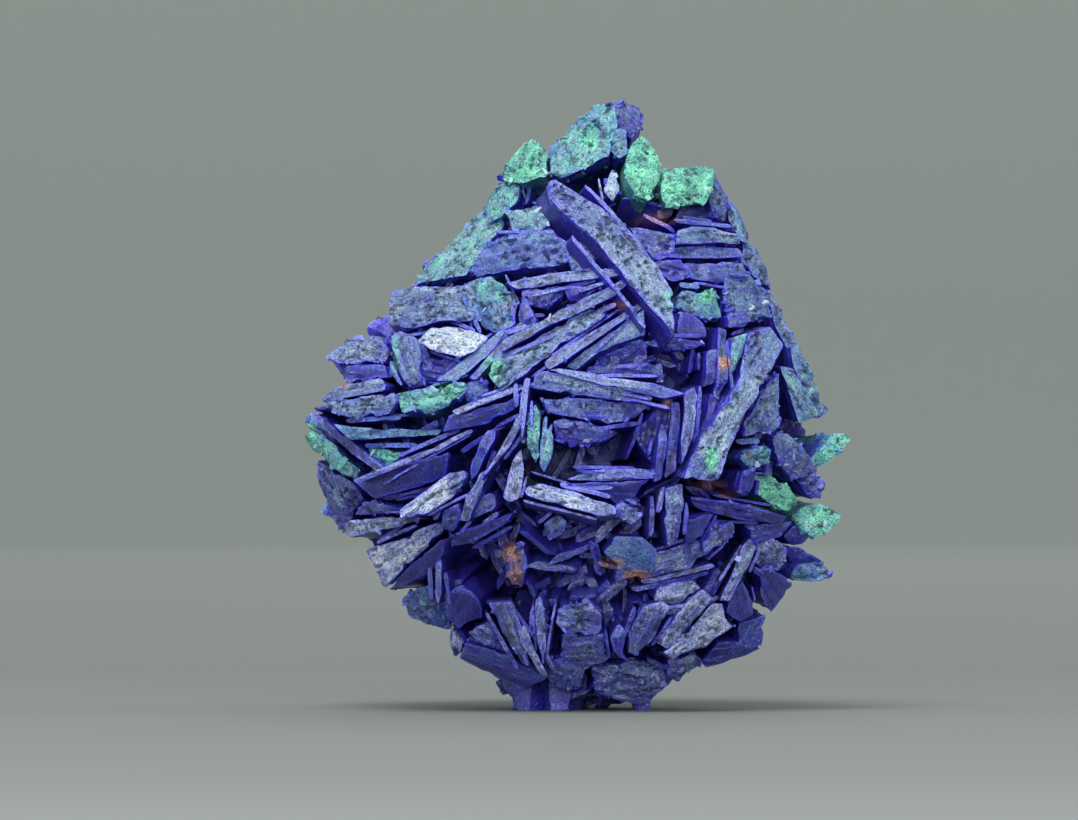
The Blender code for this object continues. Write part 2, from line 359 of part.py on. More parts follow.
# The right side: the great blade, upright strips behind it, and the spikes that stand out
RIGHT = (
    ("great_blade", 1.5, 0.2, (-0.6, 0.2), (
        (8.7, 18.75), (9.9, 19.1), (10.5, 18.2), (9.8, 16.95), (7.8, 13.35), (7.1, 11.4), (5.45, 11.55),
        (6.2, 13.65), (8.2, 16.45))),
    ("second_blade", 1.0, 0.1, None, (
        (9.6, 16.55), (10.2, 16.85), (10.2, 14.2), (9.85, 13.75), (8.5, 13.65), (8.5, 14.25),
        (9.2, 15.65))),
    ("teal_strip", 1.1, 0.1, None, (
        (7.8, 18.55), (8.6, 18.8), (8.2, 17.2), (7.9, 16.65), (7.7, 17.65))),
    ("blue_strip", 0.8, 0.0, None, (
        (7.1, 19.15), (7.7, 18.95), (7.6, 16.45), (7.3, 15.35), (7.0, 15.65))),
    ("violet_strip", 0.6, 0.0, None, (
        (6.5, 17.85), (7.05, 18.05), (7.0, 16.25), (6.5, 16.05))),
    ("strip_foot", 0.5, -0.2, None, (
        (6.7, 15.85), (7.3, 15.35), (7.2, 14.45), (6.4, 14.05))),
    ("right_fin", 1.0, 0.1, (-0.5, 0.4), (
        (10.3, 17.15), (10.9, 17.05), (11.8, 15.55), (12.45, 14.6), (11.3, 14.2), (10.9, 15.35))),
    ("fin_back", 0.2, 0.1, (-0.9, 0.2), (
        (10.6, 18.2), (11.2, 18.2), (11.8, 17.05), (12.3, 15.55), (13.1, 14.95), (12.35, 14.4),
        (11.7, 15.0), (10.9, 17.05))),
    ("green_spike", 0.6, 0.1, (-2.4, -0.3), (
        (12.0, 12.45), (12.4, 13.25), (13.1, 13.85), (13.65, 13.8), (13.85, 13.45), (13.3, 12.85),
        (12.5, 12.05), (12.1, 12.05))),
    ("lavender_slab", 0.9, 0.1, (-0.6, -0.3), (
        (9.8, 13.55), (10.4, 14.05), (11.0, 13.65), (12.3, 12.25), (12.3, 11.75), (10.9, 11.45),
        (10.2, 12.25))),
    ("right_corner", 0.7, 0.0, (-1.2, 0.0), (
        (11.1, 11.45), (11.3, 11.75), (12.2, 11.85), (12.6, 11.3), (12.3, 10.45), (11.7, 10.65))),
    ("teal_druse", 1.0, 0.1, None, (
        (8.1, 12.55), (8.6, 13.0), (9.5, 13.25), (9.9, 12.85), (9.6, 12.25), (8.65, 12.05))),
    ("blue_druse", 0.8, -0.2, None, (
        (8.3, 11.95), (9.0, 12.15), (9.1, 11.35), (8.5, 10.55), (8.1, 10.95))),
    ("green_druse", 0.8, 0.1, None, (
        (9.0, 11.75), (10.0, 11.65), (10.9, 11.15), (11.2, 10.45), (10.7, 9.8), (9.8, 10.15),
        (9.0, 10.85))),
    ("mint_wedge", 0.8, 0.25, (-1.6, 0.2), (
        (10.85, 9.65), (11.3, 10.15), (12.4, 10.35), (13.5, 9.7), (12.9, 8.9), (12.1, 8.5), (11.25, 8.95))),
    ("under_mint", 0.3, -0.5, (-1.2, 0.0), (
        (10.4, 8.65), (11.0, 9.35), (12.0, 8.65), (11.5, 8.15), (10.9, 8.15))),
    ("teal_spike", 0.4, -0.1, (-2.0, 0.4), (
        (11.0, 6.75), (11.3, 7.3), (12.4, 7.45), (12.95, 6.7), (12.4, 6.4), (11.2, 6.3))),
    ("black_spike", 0.1, -0.6, (-1.6, 0.2), (
        (10.6, 8.05), (11.1, 8.2), (12.6, 7.35), (11.4, 7.15), (10.7, 7.35))),
    ("fan_spine", 0.6, -0.2, None, (
        (5.9, 10.65), (8.4, 10.35), (10.7, 9.65), (10.4, 9.25), (8.4, 9.45), (6.1, 10.05))),
    ("fan_wing", 0.5, 0.0, None, (
        (8.6, 9.25), (10.9, 9.45), (10.2, 8.55), (9.0, 8.25))),
    ("lavender_mass", 0.7, 0.1, None, (
        (9.0, 8.15), (9.8, 8.75), (10.6, 8.15), (10.6, 7.35), (9.9, 6.75), (9.2, 7.25))),
)

# Hollows in the massive middle: how deep they reach below the form, and their outline
HOLLOWS = (
    (8.0, ((-0.6, 26.4), (1.9, 27.2), (4.2, 25.0), (7.2, 24.9), (6.0, 23.7), (3.3, 23.8), (0.8, 24.6))),
    (6.0, ((2.3, 12.3), (3.2, 13.7), (3.9, 12.9), (3.7, 12.1))),
    (5.5, ((-6.6, 4.6), (-6.2, 6.9), (-4.2, 8.0), (-2.4, 6.4), (-3.4, 5.2), (-4.6, 3.4), (-5.6, 3.6))),
    (5.0, ((-5.0, 22.4), (-2.7, 24.2), (-1.2, 24.6), (-1.0, 23.2))))

# The broken foot: crystals that end on one plane, as the x and y of the middle, half the width, half the
# depth and the height
FOOT = (
    (-2.3, -1.8, 0.9, 1.5, 3.8), (-0.8, -2.6, 0.8, 1.1, 3.2), (-2.0, 1.4, 1.1, 1.6, 4.2),
    (-0.1, 0.4, 0.9, 2.0, 3.4), (-1.0, 3.2, 1.3, 0.9, 3.8), (3.5, -2.2, 0.5, 0.9, 2.4))
FOOT_SIDES = 5
FOOT_BELOW = -0.6  # the crystals run on past the plane, and are cut there
FOOT_FLARE = 1.8  # how much wider a foot crystal is at its root


def reach(z):
    """The left and right reach of the form at a height."""
    for (z0, left0, right0), (z1, left1, right1) in zip(FORM, FORM[1:]):
        if z <= z1:
            share = max(0.0, (z - z0) / (z1 - z0))
            return left0 + share * (left1 - left0), right0 + share * (right1 - right0)
    return FORM[-1][1:]


def half_width(z):
    left, right = reach(z)
    return (right - left) / 2


def middle_x(z):
    left, right = reach(z)
    return (left + right) / 2


def front_depth(x, z):
    """The y of the form's front at a place seen from the front. It is negative, towards the viewer."""
    across = min(0.96, abs(x - middle_x(z)) / half_width(z))
    return -DEPTH_SHARE * half_width(z) * math.sqrt(1 - across * across)


def front_slope(x, z, step=0.9):
    """How fast the form's front recedes along x and z."""
    along_x = (front_depth(x + step, z) - front_depth(x - step, z)) / (2 * step)
    along_z = (front_depth(x, z + step) - front_depth(x, z - step)) / (2 * step)
    return along_x, along_z


def front_crystal(proud, turn, lean, outline):
    """The corners of a front crystal: its outer face on one plane, and the same outline at its root."""
    x_mid = sum(x for x, _ in outline) / len(outline)
    z_mid = sum(z for _, z in outline) / len(outline)
    y_mid = front_depth(x_mid, z_mid) - proud
    along_x, along_z = (max(-STEEPEST, min(STEEPEST, FACE_FOLLOWS * s)) for s in front_slope(x_mid, z_mid))
    along_z += turn
    off_x = x_mid - middle_x(z_mid)
    off_z = z_mid - BACK_MIDDLE
    if lean is None:
        root = Vector((-0.25 * off_x, ROOT_DEEP, -0.12 * off_z))
    else:
        root = Vector((lean[0] - 0.10 * off_x, ROOT_DEEP, lean[1] - 0.05 * off_z))
    face = [Vector((x, y_mid + along_x * (x - x_mid) + along_z * (z - z_mid), z)) for x, z in outline]
    return face + [p + root for p in face]


def tablet(shape, seat, out, angle, length, width, tilt, pitch=0.0):
    """The corners of a tablet whose outer face lies across `out`, tilted over its width and its length."""
    side = Vector((-out.y, out.x, 0.0)).normalized()
    up = side.cross(out)
    along = side * math.cos(angle) + up * math.sin(angle)
    across = out.cross(along)
    points = []
    for u, w in shape:
        points.append(seat + (along + out * pitch) * (u * length) + (across + out * tilt) * (w * width))
        points.append(seat - out * ROOT_DEEP + along * (0.8 * u * length) + across * (0.9 * w * width))
    return points


def back_crystals():
    """Tablets of the back and the sides, spread evenly by the golden angle, in bundles that lie alike."""
    rng = random.Random(BACK_SEED)
    for k in range(BACK_TRIALS):
        azimuth = k * math.pi * (3 - math.sqrt(5))
        height = 1 - (k + 0.5) * 2 / BACK_TRIALS
        z = BACK_MIDDLE + BACK_REACH * height
        proud = rng.uniform(-0.7, 0.8)
        bundle = 1.5 * math.sin(2.1 * azimuth + 0.25 * z) + 1.1 * math.cos(0.33 * z - azimuth)
        angle = bundle + rng.gauss(0, BUNDLE_SPREAD)
        length = rng.uniform(*BACK_LENGTH)
        width = BACK_THIN + BACK_THICKER * rng.random() ** 1.5
        tilt = rng.uniform(-0.7, 0.7)
        pitch = rng.uniform(-0.22, 0.22)
        if math.sin(azimuth) < -0.02:
            continue
        half = half_width(z)
        grow = half_width(z + 0.6) - half_width(z - 0.6)
        out = Vector((math.cos(azimuth), math.sin(azimuth), -grow / 1.2)).normalized()
        edge = min(1.0, 1.6 * max(0.0, math.sin(azimuth)))
        fade = max(0.0, min(1.0, (CROWN_HEIGHT - z) / END_FADE, (z - FOOT_HEIGHT) / END_FADE))
        across = half * math.cos(azimuth)
        seat = Vector((middle_x(z) + across, DEPTH_SHARE * half * math.sin(azimuth), z))
        seat += out * (proud * edge * fade - BACK_SUNK * (1 - edge) - END_SUNK * (1 - fade))
        length *= (0.4 + 0.6 * min(1.0, half / 9.0)) * (0.6 + 0.4 * edge)
        yield tablet(TABLET, seat, out, angle, length, width, tilt, pitch)


def small_crystal(x, z, sunk, angle, length, width, tilt):
    """A small tablet between the large ones of the front, sunk below the form."""
    along_x, along_z = front_slope(x, z)
    out = Vector((along_x, -1.0, along_z)).normalized()
    seat = Vector((x, front_depth(x, z), z)) - out * sunk
    return tablet(SPLINTER, seat, out, angle, length, width, tilt)


def fill_crystals():
    """Small tablets scattered over the front, deeper than the large ones."""
    rng = random.Random(FILL_SEED)
    for k in range(FILL_TRIALS):
        z = 3.0 + 20.5 * (k + rng.random()) / FILL_TRIALS
        x = middle_x(z) + 0.82 * half_width(z) * rng.uniform(-1, 1)
        sunk = rng.uniform(0.6, 1.3)
        angle = rng.uniform(-1.6, 1.6)
        length = rng.uniform(*FILL_LENGTH)
        yield small_crystal(x, z, sunk, angle, length, rng.uniform(*FILL_WIDTH), rng.uniform(-0.8, 0.8))


def swirl_crystals():
    """Small splinters that lie round the lower middle of the front."""
    rng = random.Random(SWIRL_SEED)
    near, far = SWIRL_REACH
    for k in range(SWIRL_CRYSTALS):
        turn = k * math.pi * (3 - math.sqrt(5))
        away = near + (far - near) * math.sqrt((k + 0.5) / SWIRL_CRYSTALS)
        x = SWIRL_MIDDLE[0] + away * math.cos(turn)
        z = SWIRL_MIDDLE[1] + 0.62 * away * math.sin(turn)
        sunk = rng.uniform(0.2, 1.4)
        angle = turn + math.pi / 2 + rng.gauss(0, 0.35)
        length = rng.uniform(1.4, 2.8)
        yield small_crystal(x, z, sunk, angle, length, rng.uniform(0.35, 0.8), rng.uniform(-0.6, 0.6))


def foot_crystal(x, y, half, depth, height):
    """A crystal that runs down past the plane on which the cluster stands."""
    points = []
    for k in range(FOOT_SIDES):
        a = math.tau * k / FOOT_SIDES + x + y
        across = half * math.cos(a)
        back = depth * math.sin(a)
        points.append(Vector((x + across, y + back, FOOT_BELOW)))
        points.append(Vector((0.8 * x + FOOT_FLARE * across, 0.8 * y + FOOT_FLARE * back, height)))
    return points


def convex(name, points):
    """One convex crystal."""
    made = bmesh.new()
    corners = [made.verts.new(p) for p in points]
    hull = bmesh.ops.convex_hull(made, input=corners)
    spare = set(hull["geom_interior"] + hull["geom_unused"])
    bmesh.ops.delete(made, geom=[g for g in spare if isinstance(g, bmesh.types.BMVert)], context="VERTS")
    limit = math.radians(FLATTEST_FACET)
    bmesh.ops.dissolve_limit(made, angle_limit=limit, verts=made.verts, edges=made.edges)
    bmesh.ops.recalc_face_normals(made, faces=made.faces)
    return placed(name, made)


def placed(name, made):
    """An object of a finished bmesh."""
    mesh = bpy.data.meshes.new(name)
    made.to_mesh(mesh)
    made.free()
    return bpy.data.objects.new(name, mesh)


def core():
    """The massive middle that every crystal is rooted in."""
    made = bmesh.new()
    rings = []
    for z in CORE_LEVELS:
        half = max(1.0, half_width(z) - CORE_INSET)
        depth = max(0.9, DEPTH_SHARE * half_width(z) - CORE_INSET)
        turns = (math.tau * k / CORE_SIDES for k in range(CORE_SIDES))
        ring = [(middle_x(z) + half * math.cos(a), depth * math.sin(a), z) for a in turns]
        rings.append([made.verts.new(p) for p in ring])
    for low, high in zip(rings, rings[1:]):
        for k in range(CORE_SIDES):
            n = (k + 1) % CORE_SIDES
            made.faces.new((low[k], low[n], high[n], high[k]))
    made.faces.new(reversed(rings[0]))
    made.faces.new(rings[-1])
    return placed("azurite_specimen", made)


def hollow(deep, outline):
    """A cutter that opens a hollow in the massive middle."""
    x_mid = sum(x for x, _ in outline) / len(outline)
    z_mid = sum(z for _, z in outline) / len(outline)
    floor = front_depth(x_mid, z_mid) + deep
    mouth = [Vector((x, floor - deep - 6.0, z)) for x, z in outline]
    end = [Vector((x_mid + 0.7 * (x - x_mid), floor, z_mid + 0.7 * (z - z_mid))) for x, z in outline]
    return convex("hollow", mouth + end)


def stand_cutter():
    """Everything below the plane on which the cluster stands."""
    size = 60.0
    points = [Vector((x, y, z)) for x in (-size, size) for y in (-size, size) for z in (-size, 0.0)]
    return convex("below", points)


def crystals():
    """Every crystal of the cluster."""
    for name, *shape in CROWN + LEFT_SHOULDER + DIAGONALS + CENTRE + LEFT_MIDDLE + LOWER + RIGHT:
        yield convex(name, front_crystal(*shape))
    for maker in (fill_crystals, swirl_crystals, back_crystals):
        for points in maker():
            yield convex(maker.__name__, points)
    for row in FOOT:
        yield convex("foot", foot_crystal(*row))


def combined(base, parts, operation):
    """Applies one exact Boolean of the base with a group of solids, and removes those."""
    group = bpy.data.collections.new("group")
    for part in parts:
        group.objects.link(part)
    step = base.modifiers.new(operation.lower(), "BOOLEAN")
    step.operation = operation
    step.operand_type = "COLLECTION"
    step.collection = group
    step.solver = "EXACT"
    step.use_self = True
    bpy.context.view_layer.update()
    graph = bpy.context.evaluated_depsgraph_get()
    mesh = bpy.data.meshes.new_from_object(base.evaluated_get(graph), depsgraph=graph)
    base.modifiers.clear()
    base.data = mesh
    for part in list(group.objects):
        bpy.data.objects.remove(part)
    bpy.data.collections.remove(group)


def keep_one_body(mesh):
    """Keeps the largest closed body, so that no gap between roots is left sealed inside."""
    made = bmesh.new()
    made.from_mesh(mesh)
    bmesh.ops.triangulate(made, faces=made.faces)
    left = set(made.verts)
    bodies = []
    while left:
        stack = [left.pop()]
        body = set(stack)
        while stack:
            near = {vert for edge in stack.pop().link_edges for vert in edge.verts} & left
            left -= near
            body |= near
            stack.extend(near)
        bodies.append(body)
    bodies.sort(key=len)
    for body in bodies[:-1]:
        bmesh.ops.delete(made, geom=list(body), context="VERTS")
    made.to_mesh(mesh)
    made.free()


def centre(mesh):
    """Moves the cluster so that its origin is the middle of its box, at the plane it stands on."""
    spans = [[vert.co[axis] for vert in mesh.vertices] for axis in (0, 1)]
    shift = [-(min(span) + max(span)) / 2 for span in spans]
    mesh.transform(Matrix.Translation((*shift, 0.0)))


def azurite_material():
    material = bpy.data.materials.new("azurite")
    material.use_nodes = True
    shader = material.node_tree.nodes["Principled BSDF"]
    shader.inputs["Base Color"].default_value = (0.075, 0.085, 0.36, 1.0)
    shader.inputs["Roughness"].default_value = 0.55
    shader.inputs["Metallic"].default_value = 0.0
    return material


def main():
    for old in list(bpy.data.objects):
        bpy.data.objects.remove(old)
    cluster = core()
    bpy.context.scene.collection.objects.link(cluster)
    combined(cluster, [hollow(*row) for row in HOLLOWS], "DIFFERENCE")
    combined(cluster, list(crystals()), "UNION")
    combined(cluster, [stand_cutter()], "DIFFERENCE")
    keep_one_body(cluster.data)
    centre(cluster.data)
    cluster.data.transform(Matrix.Scale(MM, 4))
    cluster.data.materials.append(azurite_material())


main()
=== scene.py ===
"""Azurite specimen as it looks: a ball of blue tabular crystals with dusty faces and malachite on their ends.

Lengths are in millimetres until the meshes are made. +X is to the right, +Z up, and the front faces -Y.
Every crystal is a closed prism with a worn rim, a pitted or striated outer face and ledges down its sides.
"""

import itertools
import math
import random

import bpy
import numpy as np
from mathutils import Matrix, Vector
from mathutils.geometry import delaunay_2d_cdt


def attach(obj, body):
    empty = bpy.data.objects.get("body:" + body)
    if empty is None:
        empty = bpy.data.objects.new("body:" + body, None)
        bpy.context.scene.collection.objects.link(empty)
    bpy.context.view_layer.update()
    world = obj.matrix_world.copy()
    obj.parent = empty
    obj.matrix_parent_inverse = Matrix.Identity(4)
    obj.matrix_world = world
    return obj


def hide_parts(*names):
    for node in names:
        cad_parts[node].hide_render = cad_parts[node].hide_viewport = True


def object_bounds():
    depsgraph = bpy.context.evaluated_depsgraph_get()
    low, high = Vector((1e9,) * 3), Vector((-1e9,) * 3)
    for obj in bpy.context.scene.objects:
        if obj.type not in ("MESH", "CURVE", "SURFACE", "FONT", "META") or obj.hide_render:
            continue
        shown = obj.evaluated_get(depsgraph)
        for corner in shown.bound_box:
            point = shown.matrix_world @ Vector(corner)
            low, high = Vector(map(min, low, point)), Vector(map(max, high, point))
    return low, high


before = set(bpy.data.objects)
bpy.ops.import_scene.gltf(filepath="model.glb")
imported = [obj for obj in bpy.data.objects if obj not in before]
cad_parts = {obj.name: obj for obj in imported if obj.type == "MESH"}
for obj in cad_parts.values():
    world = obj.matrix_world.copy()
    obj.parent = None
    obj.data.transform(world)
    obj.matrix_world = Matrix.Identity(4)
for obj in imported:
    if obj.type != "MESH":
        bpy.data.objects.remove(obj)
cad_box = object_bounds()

MM = 0.001
CENTRING = (-0.1, 0.156, 0.0)  # from the tables to the frame, whose origin is the middle of the box

DEPTH_SHARE = 0.88  # the cluster's depth over its width
CORE_INSET = 1.8  # how far the massive middle lies under the crystal faces
ROOT_DEEP = 4.6  # how far a crystal reaches in below its outer face
FACE_FOLLOWS = 0.75  # how far a front face turns with the form: 0 faces the front, 1 lies on the form
STEEPEST = 0.95  # the steepest slope that the form gives a front face

GOLDEN_ANGLE = math.pi * (3 - math.sqrt(5))  # spreads things evenly round a middle

BACK_SEED = 11
BACK_TRIALS = 150
BACK_LENGTH = (4.0, 7.6)
BACK_THIN = 0.8
BACK_THICKER = 2.3  # how much wider than the thinnest one a crystal of the back can be
BACK_MIDDLE = 14.2  # the height of the back's middle
BACK_REACH = 13.4  # how far above and below that height the back's crystals lie
BACK_SUNK = 1.5  # how far the crystals at the sides are sunk
CROWN_HEIGHT = 27.0
FOOT_HEIGHT = 1.5
END_FADE = 4.0  # over how much height the back's crystals sink towards the crown and the foot
END_SUNK = 0.5
BUNDLE_SPREAD = 0.28

FILL_SEED = 5
FILL_TRIALS = 20
FILL_LENGTH = (1.8, 4.2)
FILL_WIDTH = (0.45, 0.9)

GAP_SEED = 21
GAP_TRIALS = 230
GAP_LENGTH = (1.2, 3.4)
GAP_WIDTH = (0.3, 0.8)

BACK_GAP_SEED = 8
BACK_GAP_TRIALS = 150
BACK_GAP_LENGTH = (1.6, 4.4)
BACK_GAP_WIDTH = (0.4, 1.0)

SWIRL_SEED = 3
SWIRL_MIDDLE = (-0.4, 7.4)
SWIRL_CRYSTALS = 18
SWIRL_REACH = (0.9, 4.6)
SWIRL_LENGTH = (1.4, 2.8)
SWIRL_WIDTH = (0.35, 0.8)

DEEPEST_BEVEL = 0.35
BACK_BEVEL_SHARE = 0.3  # how deep the bevels of the back are, as a share of the front's
FRONT_SPACING = 0.12  # between the mesh points of a front crystal
BACK_SPACING = 0.222
SMALL_SPACING = 0.155
PLATE_THICKNESS = (0.12, 0.3)
PLATES_WITHIN = 0.9  # how far out thin plates reach, as a share of the form's half width
PLATES_BELOW = 26.6  # the height over which no thin plates are made

# How far below a crystal's face each row of points on its sides lies
PLATE_ROWS = (0.0, 0.05, 0.12, 0.25, 0.45, 0.8, 1.5, 4.2)
BACK_ROWS = (0.0, 0.06, 0.14, 0.25, 0.4, 0.6, 0.9, 1.4, 2.3, 4.6)
SIDE_ROWS = (0.0, 0.05, 0.11, 0.18, 0.26, 0.36, 0.48, 0.62, 0.8, 1.0, 1.3, 1.7, 2.3, 3.2, 4.6)

# How strongly each kind of face is terraced, wavy, striated, pitted and roughened, in millimetres
HABITS = {
    "rough": (0.20, 0.12, 0.06, 0.08, 0.14),
    "pitted": (0.12, 0.07, 0.08, 0.14, 0.08),
    "striated": (0.12, 0.06, 0.16, 0.05, 0.07),
    "smooth": (0.08, 0.05, 0.05, 0.0, 0.03),
}

# How densely each kind of face is strewn with small crystals
DRUSE = {"rough": 0.6, "pitted": 0.1, "striated": 0.07, "smooth": 0.0}
DRUSE_PER_MM2 = 5.0
DRUSE_SIZE = (0.12, 0.42)

# The values that each point of a mesh carries for its material
POINT_VALUES = ("bloom", "side", "cleft", "rim", "hole", "up", "low", "deep", "green", "clay")
LOW_BELOW = 15.0  # under this height the look turns to violet
LOW_FADE = 9.0  # and over this much height
CLEFT_DEEP = 3.2  # how far under the form the painted cleft shade is darkest
SHARP_ANGLE = math.radians(38)  # edges that turn more than this stay sharp

# The form that the outer faces touch: height, then the left and right reach at that height
FORM = np.array((
    (-1.0, -3.0, 3.4), (0.0, -3.6, 4.0), (1.5, -4.6, 5.6), (3.0, -6.2, 8.6), (5.0, -8.2, 9.9),
    (7.0, -9.8, 10.8), (9.0, -11.6, 11.2), (11.0, -12.6, 11.8), (14.0, -13.1, 12.1), (16.0, -12.4, 11.8),
    (18.0, -10.8, 11.2), (21.0, -9.0, 9.9), (23.0, -6.7, 9.1), (25.0, -4.8, 8.2), (27.0, -3.6, 6.4),
    (28.5, -2.4, 4.0), (30.5, -0.6, 2.6)))

TABLET = ((-0.5, -0.1), (-0.4, 0.5), (0.45, 0.5), (0.5, -0.45), (-0.36, -0.5))
SPLINTER = ((-0.5, -0.2), (-0.3, 0.5), (0.5, 0.3), (0.35, -0.5))

# Front crystals: name, how far the outer face stands proud of the form, how steeply it turns up, how far the
# root shifts to the right and up (None: towards the middle), how pale its dusty face is, how much malachite
# it carries, its kind of face, and the outline of the face

# The crown and what surrounds the hollow under it
CROWN = (
    ("crown_prism", 0.3, 0.15, (0.3, -0.6), 0.42, 0.45, "rough", ((-1.3, 28.05), (1.0, 30.45),
        (2.0, 30.3), (2.2, 29.25), (1.75, 27.55), (-0.6, 26.45), (-1.2, 26.65))),
    ("crown_cap", 0.0, -0.2, None, 0.3, 0.0, "rough", ((1.55, 30.5), (2.5, 30.45), (3.3, 30.1),
        (3.55, 29.55), (3.4, 28.95), (2.9, 28.55), (2.2, 29.15))),
    ("teal_chip", 0.4, 0.2, None, 0.35, 0.35, "rough", ((1.9, 29.05), (2.6, 29.1), (2.7, 27.7),
        (2.2, 27.4), (1.8, 28.0))),
    ("green_shoulder", 0.4, 0.25, (0.2, -0.6), 0.5, 0.75, "rough", ((-3.6, 27.1), (-2.7, 28.35),
        (-2.1, 28.65), (-1.6, 28.25), (-1.3, 27.85), (-1.35, 26.55), (-2.6, 26.3), (-3.6, 26.45))),
    ("slope_upper", 0.2, 0.1, None, 0.5, 0.45, "rough", ((-4.2, 26.2), (-3.6, 26.55), (-2.7, 26.25),
        (-2.8, 25.45), (-3.6, 24.55), (-4.4, 24.2), (-4.7, 24.95))),
    ("slope_lower", 0.2, 0.2, None, 0.6, 0.4, "rough", ((-4.6, 25.3), (-3.9, 25.15), (-3.6, 24.35),
        (-4.5, 23.05), (-5.4, 21.65), (-8.3, 21.1), (-7.6, 22.15), (-5.85, 23.85))),
    ("notch_chips", 0.1, 0.5, None, 0.65, 0.35, "rough", ((-3.6, 24.9), (-1.9, 25.1), (-1.1, 24.5),
        (-1.7, 23.9), (-3.2, 23.9))),
    ("dark_boulder", 0.9, -0.5, (0.3, -0.8), 0.22, 0.15, "pitted", ((-5.25, 21.95), (-4.6, 22.9),
        (-3.6, 23.75), (-2.35, 24.1), (-1.0, 24.05), (-0.25, 23.15), (-0.3, 22.35), (-1.2, 22.05),
        (-3.35, 21.8), (-4.85, 21.5))),
    ("lavender_lump", 0.5, 0.1, None, 0.45, 0.05, "rough", ((-0.45, 23.4), (0.6, 23.3), (1.2, 22.45),
        (1.0, 21.85), (-0.1, 21.7), (-0.5, 22.5))),
    ("long_blade", 2.2, 0.25, (-1.1, -1.1), 0.58, 0.05, "pitted", ((-1.15, 26.5), (-0.8, 26.55),
        (2.75, 24.3), (4.95, 20.75), (4.95, 18.55), (3.9, 19.75), (0.7, 23.65), (-1.05, 25.45))),
    ("pale_diamond", -0.4, 0.2, None, 0.92, 0.15, "rough", ((1.9, 27.05), (2.3, 25.95), (1.9, 25.25),
        (1.4, 25.85))),
    ("green_tooth_left", 0.9, 0.15, None, 0.5, 0.95, "rough", ((2.5, 27.45), (2.9, 28.3), (3.4, 28.7),
        (4.0, 28.1), (4.5, 26.95), (4.15, 26.15), (3.7, 25.5), (2.9, 25.75), (2.55, 26.45))),
    ("green_tooth_right", 0.8, 0.2, (0.0, 0.3), 0.5, 0.9, "rough", ((4.45, 26.95), (6.3, 27.15),
        (7.0, 27.0), (6.95, 25.95), (6.6, 25.25), (4.5, 24.95), (4.3, 25.75))),
    ("tooth_flank", 0.2, 0.0, None, 0.4, 0.15, "rough", ((6.9, 26.95), (7.5, 26.15), (8.0, 25.15),
        (7.6, 24.35), (7.0, 24.65), (6.7, 25.45))),
    ("right_shoulder", 0.0, 0.0, None, 0.45, 0.2, "rough", ((7.8, 25.65), (8.25, 25.05), (8.9, 23.65),
        (8.6, 23.15), (8.1, 23.55), (7.6, 24.55))),
    ("right_slope", 0.0, 0.0, None, 0.45, 0.15, "rough", ((8.6, 23.65), (9.2, 23.05), (9.8, 21.95),
        (9.95, 20.85), (9.0, 21.55), (8.3, 22.35))),
    ("upper_ledge", 0.6, 0.3, None, 0.42, 0.1, "striated", ((5.1, 23.9), (5.9, 24.15), (7.2, 24.05),
        (8.3, 23.85), (8.45, 23.3), (5.0, 23.15))),
    ("middle_ledge", 0.3, 0.2, None, 0.38, 0.05, "striated", ((4.9, 23.1), (8.3, 23.1), (8.45, 22.55),
        (6.4, 22.45), (5.0, 22.55))),
    ("lower_ledge", 0.4, 0.2, None, 0.32, 0.05, "striated", ((5.5, 22.35), (8.5, 22.35), (8.75, 21.45),
        (7.15, 21.25), (5.8, 21.5))),
    ("cavity_sill", 0.2, -0.2, None, 0.25, 0.0, "rough", ((2.6, 24.15), (3.65, 24.0), (5.1, 23.85),
        (5.0, 22.65), (4.0, 22.25), (3.1, 23.15))),
    ("sill_foot", 0.1, -0.3, None, 0.18, 0.0, "striated", ((3.65, 22.35), (5.4, 22.45), (5.9, 21.55),
        (4.8, 21.25), (4.0, 21.85))),
    ("patch_block", 1.0, 0.1, (0.0, -0.6), 0.4, 0.35, "rough", ((5.0, 20.85), (7.1, 21.0),
        (7.35, 19.55), (6.4, 19.45), (5.0, 19.95))),
    ("blue_gem", 0.7, -0.3, None, 0.1, 0.0, "smooth", ((5.05, 19.9), (5.9, 19.8), (6.5, 19.15),
        (6.6, 18.55), (5.9, 18.4), (5.05, 18.75))),
    ("right_upper_face", 0.5, 0.0, None, 0.4, 0.12, "rough", ((7.4, 22.05), (8.6, 21.95), (9.7, 21.05),
        (10.0, 19.55), (8.7, 19.25), (7.5, 19.65))),
    ("right_step", 0.8, -0.2, None, 0.3, 0.0, "striated", ((7.5, 19.75), (8.7, 19.85), (8.65, 19.05),
        (7.6, 19.0))),
    ("right_upper_edge", 0.0, 0.0, None, 0.45, 0.15, "rough", ((9.6, 21.15), (10.0, 20.95),
        (10.7, 19.45), (11.2, 18.15), (10.6, 17.95), (10.0, 19.15))),
)

